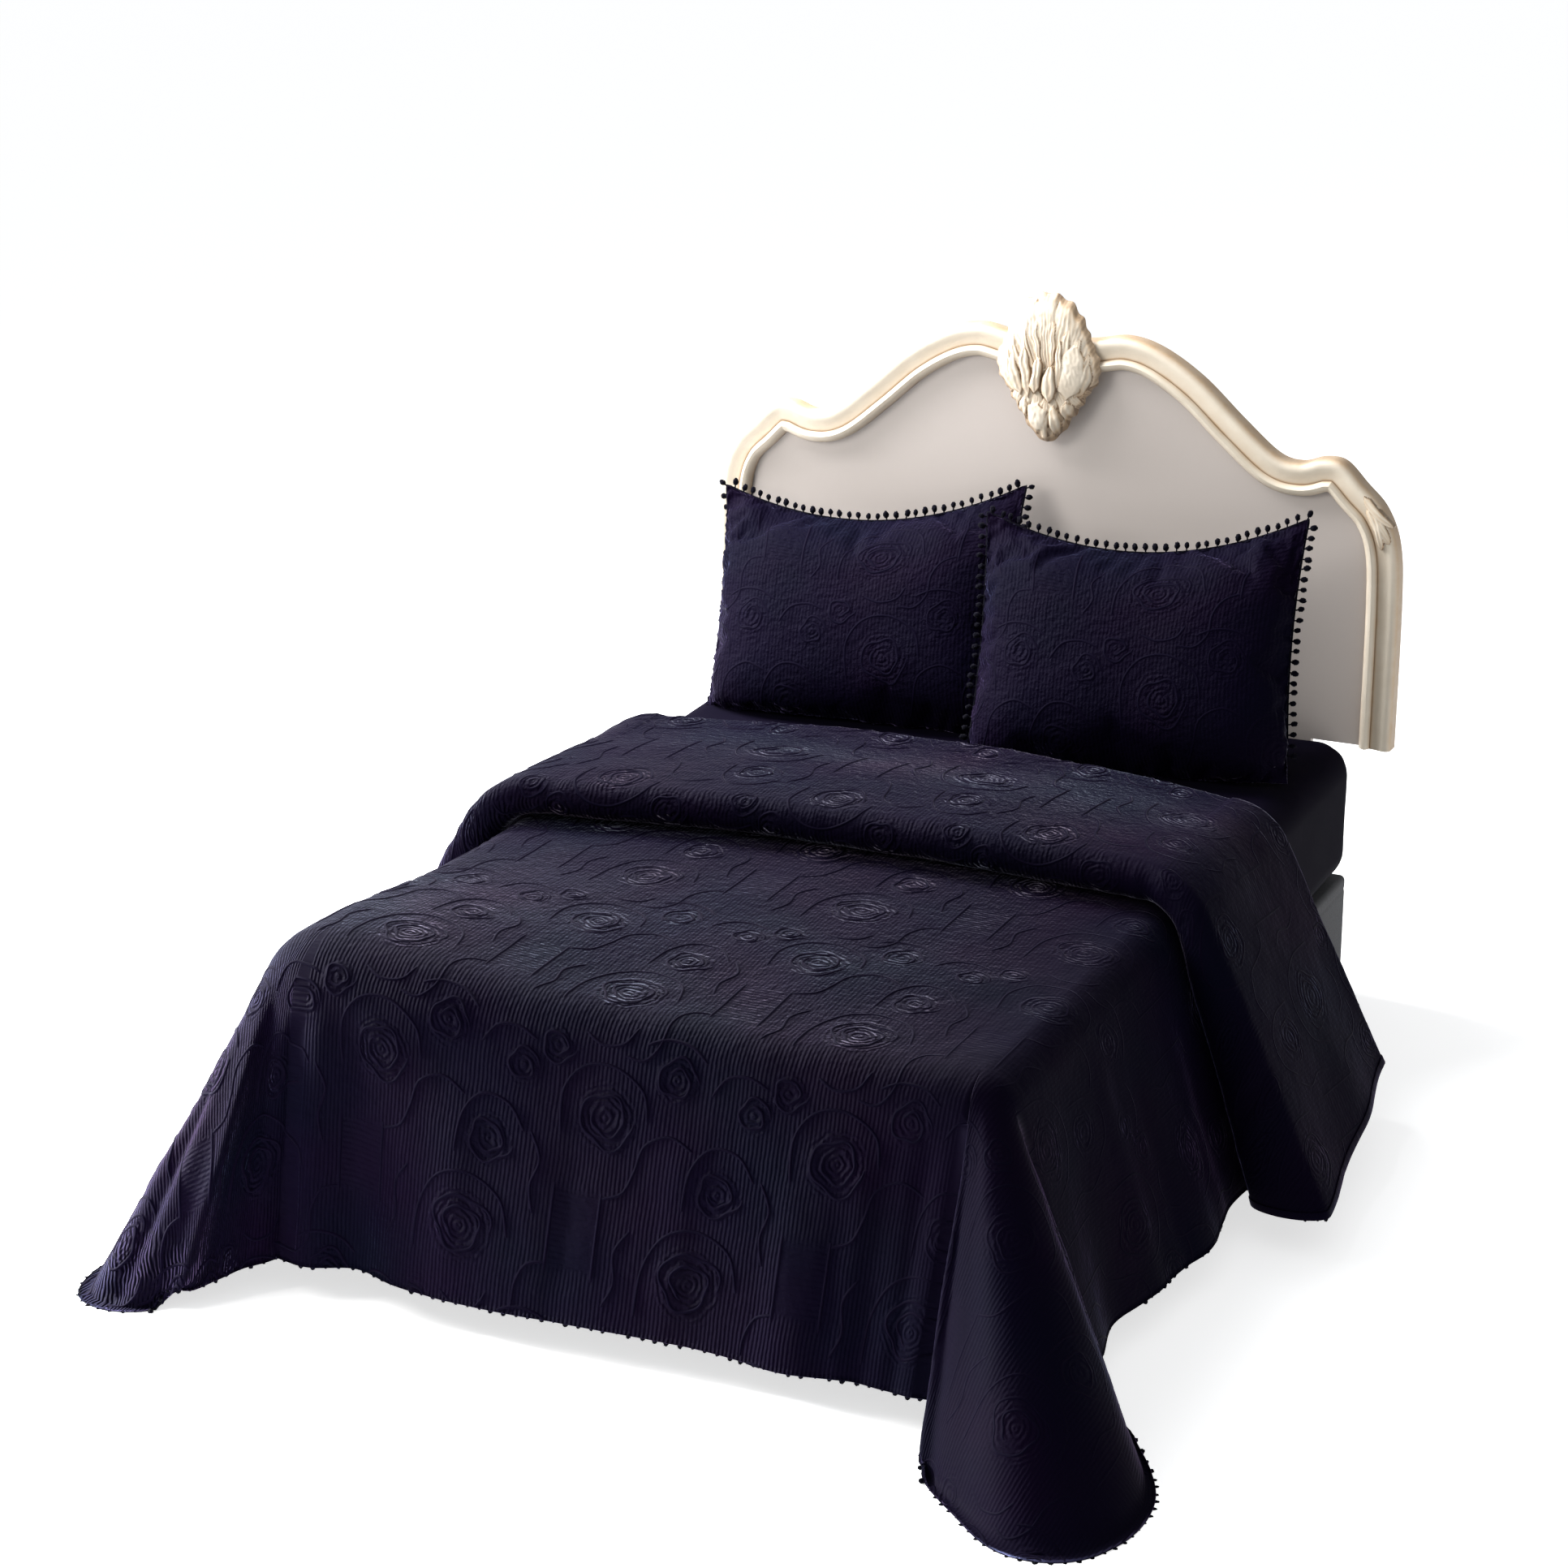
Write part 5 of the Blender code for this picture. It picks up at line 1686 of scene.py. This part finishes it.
# Small carved leaves on the right shoulder. Columns as for the crest's leaves
SHOULDER_LEAVES = (
    (0.706, 1.094, 0.754, 1.010, 0.004, 0.030, 0.000, 0.008, 2),
    (0.694, 1.108, 0.762, 1.046, 0.006, 0.020, 0.002, 0.007, 1),
    (0.716, 1.080, 0.738, 0.996, -0.002, 0.018, 0.002, 0.007, 1),
)
SHOULDER_LOW = (0.672, 0.985)
SHOULDER_HIGH = (0.772, 1.125)
SHOULDER_STEPS = (60, 84)
SHOULDER_UP = 0.040
SHOULDER_ROOT = -0.006
SHOULDER_THICK = 0.004


def build_shoulder(look):
    columns, rows = SHOULDER_STEPS
    face_y = BOARD_BACK_Y - SHOULDER_UP
    points = []
    glaze_and_shade_values = []
    found = {}
    faces = []
    heights = {}
    for j in range(rows + 1):
        for i in range(columns + 1):
            x = SHOULDER_LOW[0] + (SHOULDER_HIGH[0] - SHOULDER_LOW[0]) * i / columns
            z = SHOULDER_LOW[1] + (SHOULDER_HIGH[1] - SHOULDER_LOW[1]) * j / rows
            carved = [leaf_height(x, z, leaf) for leaf in SHOULDER_LEAVES]
            height, wash = max(carved, key=lambda one: one[0])
            heights[i, j] = (x, z, height, wash)

    def corner(i, j):
        if (i, j) not in found:
            x, z, height, wash = heights[i, j]
            found[i, j] = len(points)
            lift = height if height > 0 else SHOULDER_ROOT
            points.append(Vector((x, face_y - lift, z)))
            # Round the leaves' roots the ground is given full brown glaze and painted shade
            glaze_and_shade_values.append(wash if height > 0 else 1.0)
        return found[i, j]

    for j in range(rows):
        for i in range(columns):
            cell = ((i, j), (i + 1, j), (i + 1, j + 1), (i, j + 1))
            if any(heights[c][2] > 0 for c in cell):
                faces.append([corner(*c) for c in cell])
    leaf = add_piece("headboard_shoulder_leaf_right", points, faces, look)
    thick = leaf.modifiers.new("thick", "SOLIDIFY")
    thick.thickness = SHOULDER_THICK
    thick.offset = -1.0
    set_attribute(leaf, "wash", glaze_and_shade_values)
    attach(leaf, "root")


# Materials

# Where the cloth hangs, on its flat cut: beyond the foot's edge, and beyond the sides'
HANGING_FROM = -0.93
ASIDE_FROM = 0.72
HANGING_FADE = 0.12

# Fine ridges of the cloth and of the base's threads. Columns: pitch, how far the wobble bends them
UPRIGHT_RIBS = (0.0080, 6.0)
LEVEL_RIBS = (0.0100, 2.0)
FINE_GATHERS = (0.0105, 30.0)
ROSETTE_LOOPS = (0.0115, 13.0)
BASE_THREADS = (0.0022, 1.0)

# How high each of the cloth's layers stands, as a share of the bump's distance
UPRIGHT_HEIGHT = 0.30
UPRIGHT_LYING = 0.45
LEVEL_HEIGHT = 0.13
LOOP_HEIGHT = 0.62
GATHER_HEIGHT = 0.62
WEAVE_HEIGHT = 0.15
CRINKLE_HEIGHT = 2.4
CRINKLE_ON_ROSETTES = 1.6
CRINKLE_HANGING = -1.3

# How a noise is made harder. Columns: factor, what is added
PATCHY_CONTRAST = (3.0, -1.1)
CAST_CONTRAST = (4.0, -1.5)

# Colours
NAVY = (0.0004, 0.0003, 0.0066)
PLUM = (0.0054, 0.0006, 0.0072)
TEAL = (0.0001, 0.0028, 0.0048)
# Sheen tints of lying cloth, and a darker copy for hanging cloth: painted shade on its front drop and sides
SHEEN_LYING = ((0.68, 0.76, 0.98), (0.88, 0.72, 0.98))
SHEEN_PAINTED_SHADE = ((0.42, 0.50, 0.96), (0.66, 0.42, 0.96))
SHEET_COLOURS = ((0.0010, 0.0006, 0.0040), (0.0022, 0.0012, 0.0060))
BASE_COLOURS = ((0.036, 0.036, 0.041), (0.080, 0.080, 0.086))
CREAM_COLOURS = ((0.66, 0.595, 0.49), (0.575, 0.50, 0.395))
# Brown glaze that also paints shade, and the near-black brown of the painted shade in grooves, at leaf
# edges and at rims
GLAZE_AND_SHADE_BROWN = (0.47, 0.33, 0.20)
DARK_GLAZE_AND_SHADE_BROWN = (0.15, 0.09, 0.05)
PANEL_COLOURS = ((0.442, 0.396, 0.366), (0.414, 0.370, 0.339))
WOOD_COLOURS = ((0.40, 0.27, 0.15), (0.62, 0.47, 0.31))


def shader(name, colour, roughness, more=None):
    """A material, its node tree and its surface. `more` holds further settings of the surface."""
    made = bpy.data.materials.new(name)
    made.use_nodes = True
    surface = made.node_tree.nodes["Principled BSDF"]
    surface.inputs["Base Color"].default_value = (*colour, 1.0)
    surface.inputs["Roughness"].default_value = roughness
    surface.inputs["Metallic"].default_value = 0.0
    for setting, value in (more or {}).items():
        surface.inputs[setting].default_value = value
    return made, made.node_tree, surface


def add_node(tree, kind, inputs=None, **settings):
    """A node with its settings, and its inputs as values or as other nodes' outputs."""
    made = tree.nodes.new(kind)
    for name, value in settings.items():
        setattr(made, name, value)
    for name, value in (inputs or {}).items():
        if isinstance(value, bpy.types.NodeSocket):
            tree.links.new(value, made.inputs[name])
        else:
            made.inputs[name].default_value = value
    return made


def maths(tree, operation, *values):
    made = add_node(tree, "ShaderNodeMath", dict(enumerate(values)), operation=operation)
    return made.outputs[0]


def held_between(tree, value, low, high):
    return maths(tree, "MINIMUM", maths(tree, "MAXIMUM", value, low), high)


def attribute(tree, name):
    return add_node(tree, "ShaderNodeAttribute", attribute_name=name).outputs["Fac"]


def own_place(tree):
    return add_node(tree, "ShaderNodeTexCoord").outputs["Object"]


def noise_value(tree, vector, scale, detail=2.0, rough=0.5):
    inputs = {"Vector": vector, "Scale": scale, "Detail": detail, "Roughness": rough}
    return add_node(tree, "ShaderNodeTexNoise", inputs).outputs["Fac"]


def mix_colour(tree, factor, first, second):
    made = tree.nodes.new("ShaderNodeMix")
    made.data_type = "RGBA"
    inputs = ((0, factor), (6, first), (7, second))
    for index, value in inputs:
        if isinstance(value, bpy.types.NodeSocket):
            tree.links.new(value, made.inputs[index])
        else:
            made.inputs[index].default_value = value if index == 0 else (*value, 1.0)
    return made.outputs[2]


def bump(tree, surface, height, strength, distance):
    inputs = {"Height": height, "Strength": strength, "Distance": distance}
    made = add_node(tree, "ShaderNodeBump", inputs)
    tree.links.new(made.outputs["Normal"], surface.inputs["Normal"])


def ridges(tree, place, pitch, share, wobble):
    """Ridges of one pitch across a coordinate, bent by a wobble."""
    turn = maths(tree, "MULTIPLY", place, 2 * math.pi / pitch)
    bent = maths(tree, "ADD", turn, maths(tree, "MULTIPLY", wobble, share))
    return maths(tree, "SINE", bent, 0.0)


def rosette_loops(tree, cut):
    """Uneven loops round each rosette's middle."""
    way = {"X": attribute(tree, "loop_across"), "Y": attribute(tree, "loop_along")}
    middle = add_node(tree, "ShaderNodeCombineXYZ", way).outputs[0]
    away = add_node(tree, "ShaderNodeVectorMath", {0: middle}, operation="LENGTH").outputs["Value"]
    return ridges(tree, away, *ROSETTE_LOOPS, noise_value(tree, cut, 26.0, 2.0))


def cloth_height(tree, cut, place, hanging):
    """The height of the cloth's fine ridges: each of them times where it shows, and all added up."""
    ground = attribute(tree, "ground")
    ribbed = attribute(tree, "ribbed")
    wobble = noise_value(tree, cut, 11.0, 2.0)
    patchy = maths(tree, "MULTIPLY_ADD", noise_value(tree, cut, 9.0, 2.0), *PATCHY_CONTRAST)
    patchy = held_between(tree, patchy, 0.1, 1.0)
    pulled = maths(tree, "MULTIPLY", attribute(tree, "gathered"), patchy)
    plain = maths(tree, "MAXIMUM", ribbed, maths(tree, "MULTIPLY", ground, 0.8))
    plain = maths(tree, "SUBTRACT", 1.0, plain)
    lying = maths(tree, "MULTIPLY_ADD", hanging, 1.0 - UPRIGHT_LYING, UPRIGHT_LYING)
    plain = maths(tree, "MULTIPLY", plain, lying)
    crumpled = maths(tree, "MULTIPLY_ADD", ground, CRINKLE_ON_ROSETTES, CRINKLE_HEIGHT)
    crumpled = maths(tree, "MULTIPLY_ADD", hanging, CRINKLE_HANGING, crumpled)
    layers = (
        (ridges(tree, place["X"], *UPRIGHT_RIBS, wobble), plain, UPRIGHT_HEIGHT),
        (ridges(tree, place["Y"], *LEVEL_RIBS, wobble), ribbed, LEVEL_HEIGHT),
        (ridges(tree, place["X"], *FINE_GATHERS, wobble), pulled, GATHER_HEIGHT),
        (rosette_loops(tree, cut), ground, LOOP_HEIGHT),
        (noise_value(tree, cut, 66.0, 2.5, 0.6), crumpled, 1.0),
        (noise_value(tree, cut, 900.0, 1.0), 1.0, WEAVE_HEIGHT),
    )
    whole = 0.0
    for shape, shown, weight in layers:
        layer = maths(tree, "MULTIPLY", maths(tree, "MULTIPLY", shape, shown), weight)
        whole = maths(tree, "ADD", whole, layer)
    return maths(tree, "MULTIPLY", whole, attribute(tree, "relief"))


def quilted_cloth():
    shine = {"Sheen Weight": 0.21, "Sheen Roughness": 0.21, "Specular IOR Level": 0.018}
    made, tree, surface = shader("navy_quilted_cloth", (0.006, 0.005, 0.014), 0.70, shine)
    cut = add_node(tree, "ShaderNodeUVMap", uv_map="cut").outputs["UV"]
    place = add_node(tree, "ShaderNodeSeparateXYZ", {"Vector": cut}).outputs
    foot = maths(tree, "MULTIPLY_ADD", place["Y"], -1 / HANGING_FADE, HANGING_FROM / HANGING_FADE)
    hanging = held_between(tree, foot, 0.0, 1.0)
    aside = maths(tree, "ABSOLUTE", place["X"])
    aside = maths(tree, "MULTIPLY_ADD", aside, 1 / HANGING_FADE, -ASIDE_FROM / HANGING_FADE)
    falling = maths(tree, "MAXIMUM", hanging, held_between(tree, aside, 0.0, 1.0))
    bump(tree, surface, cloth_height(tree, cut, place, hanging), 0.85, 0.0024)
    blotch = noise_value(tree, cut, 2.6, 2.0)
    tint = noise_value(tree, cut, 4.1, 2.0)
    base = mix_colour(tree, blotch, NAVY, PLUM)
    base = mix_colour(tree, maths(tree, "MULTIPLY", tint, 0.6), base, TEAL)
    tree.links.new(base, surface.inputs["Base Color"])
    cast = maths(tree, "MULTIPLY_ADD", blotch, *CAST_CONTRAST)
    cast = held_between(tree, cast, 0.0, 1.0)
    # Hanging cloth takes the darker sheen tint: painted shade
    lying = mix_colour(tree, cast, *SHEEN_LYING)
    painted_shade_sheen = mix_colour(tree, cast, *SHEEN_PAINTED_SHADE)
    tree.links.new(mix_colour(tree, falling, lying, painted_shade_sheen), surface.inputs["Sheen Tint"])
    return made


def pompom_yarn():
    shine = {"Sheen Weight": 0.015, "Specular IOR Level": 0.05}
    made, tree, surface = shader("navy_yarn", (0.0010, 0.0008, 0.0035), 0.9, shine)
    place = own_place(tree)
    fibres = noise_value(tree, place, 700.0, 3.0, 0.7)
    bump(tree, surface, fibres, 0.8, 0.0015)
    return made


def fitted_sheet():
    shine = {"Sheen Weight": 0.003, "Specular IOR Level": 0.02}
    made, tree, surface = shader("dark_fitted_sheet", (0.0015, 0.0010, 0.0050), 0.80, shine)
    place = own_place(tree)
    weave = noise_value(tree, place, 600.0, 2.0)
    soft = noise_value(tree, place, 9.0, 2.0)
    height = maths(tree, "ADD", maths(tree, "MULTIPLY", weave, 0.2), soft)
    bump(tree, surface, height, 0.35, 0.004)
    base = mix_colour(tree, soft, *SHEET_COLOURS)
    tree.links.new(base, surface.inputs["Base Color"])
    return made


def base_fabric():
    made, tree, surface = shader("woven_base", (0.16, 0.16, 0.17), 0.85)
    place = own_place(tree)
    axes = add_node(tree, "ShaderNodeSeparateXYZ", {"Vector": place})
    wobble = noise_value(tree, place, 40.0)
    level = maths(tree, "ADD", axes.outputs["X"], axes.outputs["Y"])
    weft = ridges(tree, axes.outputs["Z"], *BASE_THREADS, wobble)
    warp = ridges(tree, level, *BASE_THREADS, wobble)
    bump(tree, surface, maths(tree, "MULTIPLY", weft, warp), 0.5, 0.0008)
    fleck = noise_value(tree, place, 220.0, 2.0)
    base = mix_colour(tree, fleck, *BASE_COLOURS)
    tree.links.new(base, surface.inputs["Base Color"])
    return made


def cream_paint():
    made, tree, surface = shader("cream_painted_carving", (0.80, 0.72, 0.58), 0.42)
    place = own_place(tree)
    wash = attribute(tree, "wash")
    uneven = noise_value(tree, place, 26.0, 3.0, 0.6)
    streaks = noise_value(tree, place, 90.0, 2.0)
    # Brown glaze with painted shade where the attribute is up to one, near-black painted shade above one
    glaze_and_shade_share = maths(tree, "MULTIPLY", maths(tree, "MINIMUM", wash, 1.0), maths(tree, "ADD", uneven, 0.30))
    deep = maths(tree, "SUBTRACT", maths(tree, "MINIMUM", wash, 2.0), 1.0)
    deep = maths(tree, "MULTIPLY", maths(tree, "MAXIMUM", deep, 0.0), 0.85)
    base = mix_colour(tree, uneven, *CREAM_COLOURS)
    base = mix_colour(tree, glaze_and_shade_share, base, GLAZE_AND_SHADE_BROWN)
    base = mix_colour(tree, deep, base, DARK_GLAZE_AND_SHADE_BROWN)
    tree.links.new(base, surface.inputs["Base Color"])
    rough = maths(tree, "ADD", 0.38, maths(tree, "MULTIPLY", streaks, 0.18))
    tree.links.new(rough, surface.inputs["Roughness"])
    bump(tree, surface, maths(tree, "ADD", streaks, uneven), 0.18, 0.002)
    return made


def board_panel():
    made, tree, surface = shader("beige_grey_panel", (0.56, 0.51, 0.46), 0.55)
    place = own_place(tree)
    soft = noise_value(tree, place, 2.2, 2.0)
    fine = noise_value(tree, place, 380.0, 2.0)
    base = mix_colour(tree, soft, *PANEL_COLOURS)
    tree.links.new(base, surface.inputs["Base Color"])
    bump(tree, surface, fine, 0.12, 0.0006)
    return made


def plain_wood():
    made, tree, surface = shader("planed_wood", (0.52, 0.38, 0.24), 0.6)
    place = own_place(tree)
    stretched = add_node(tree, "ShaderNodeMapping", {"Vector": place, "Scale": (9.0, 9.0, 0.7)})
    grain = noise_value(tree, stretched.outputs["Vector"], 9.0, 4.0, 0.6)
    base = mix_colour(tree, grain, *WOOD_COLOURS)
    tree.links.new(base, surface.inputs["Base Color"])
    bump(tree, surface, grain, 0.2, 0.001)
    return made


def dress_node(name, look):
    """Give a CAD node a better material."""
    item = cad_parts[name]
    for place in item.material_slots:
        place.material = look


# Stage, light and camera

def build_stage():
    glow = {"Emission Color": (1.0, 1.0, 1.0, 1.0), "Emission Strength": FLOOR_GLOW}
    made, _, _ = shader("pale_floor", (0.80, 0.80, 0.80), 0.9, glow)
    bpy.ops.mesh.primitive_plane_add(size=40.0, location=(0, 0, 0))
    floor = bpy.context.object
    floor.name = "pale_floor"
    floor.data.materials.append(made)
    world = bpy.data.worlds.new("studio")
    bpy.context.scene.world = world
    world.use_nodes = True
    tree = world.node_tree
    lit = tree.nodes["Background"]
    lit.inputs["Color"].default_value = (0.96, 0.98, 1.0, 1.0)
    lit.inputs["Strength"].default_value = ROOM_LIGHT
    seen = add_node(tree, "ShaderNodeBackground", {"Color": (1.0, 1.0, 1.0, 1.0), "Strength": 1.0})
    ray = add_node(tree, "ShaderNodeLightPath").outputs["Is Camera Ray"]
    both = add_node(tree, "ShaderNodeMixShader", {0: ray, 1: lit.outputs[0], 2: seen.outputs[0]})
    tree.links.new(both.outputs[0], tree.nodes["World Output"].inputs["Surface"])
    bpy.context.scene.view_settings.view_transform = "Standard"


def add_light(name, place, aim, size, power, wide, colour):
    lamp = bpy.data.lights.new(name, "AREA")
    lamp.spread = math.radians(wide)
    lamp.size = size
    lamp.energy = power
    lamp.color = colour
    item = bpy.data.objects.new(name, lamp)
    item.location = place
    item.rotation_euler = (Vector(aim) - Vector(place)).to_track_quat("-Z", "Y").to_euler()
    bpy.context.scene.collection.objects.link(item)


def build_camera():
    azimuth, elevation = math.radians(CAMERA_AZIMUTH), math.radians(CAMERA_ELEVATION)
    away = Vector((
        math.sin(azimuth) * math.cos(elevation),
        -math.cos(azimuth) * math.cos(elevation),
        math.sin(elevation),
    ))
    camera = bpy.data.cameras.new("camera")
    camera.lens = CAMERA_LENS
    camera.sensor_width = 36.0
    item = bpy.data.objects.new("camera", camera)
    item.location = Vector(CAMERA_TARGET) + away * CAMERA_DISTANCE
    item.rotation_euler = (-away).to_track_quat("-Z", "Y").to_euler()
    bpy.context.scene.collection.objects.link(item)
    bpy.context.scene.camera = item


def main():
    build_camera()
    build_stage()
    for row in LIGHTS:
        add_light(*row)
    cloth = quilted_cloth()
    yarn = pompom_yarn()
    cream = cream_paint()
    build_spread(cloth, yarn)
    for spec in SHAMS:
        build_sham(spec, cloth, yarn)
    build_bed(fitted_sheet(), base_fabric())
    for side in (-1, 1):
        build_frame_half(side, cream)
    build_shoulder(cream)
    build_crest(cream)
    dress_node("headboard_panel", board_panel())
    wood = plain_wood()
    dress_node("headboard_leg_left", wood)
    dress_node("headboard_leg_right", wood)


main()
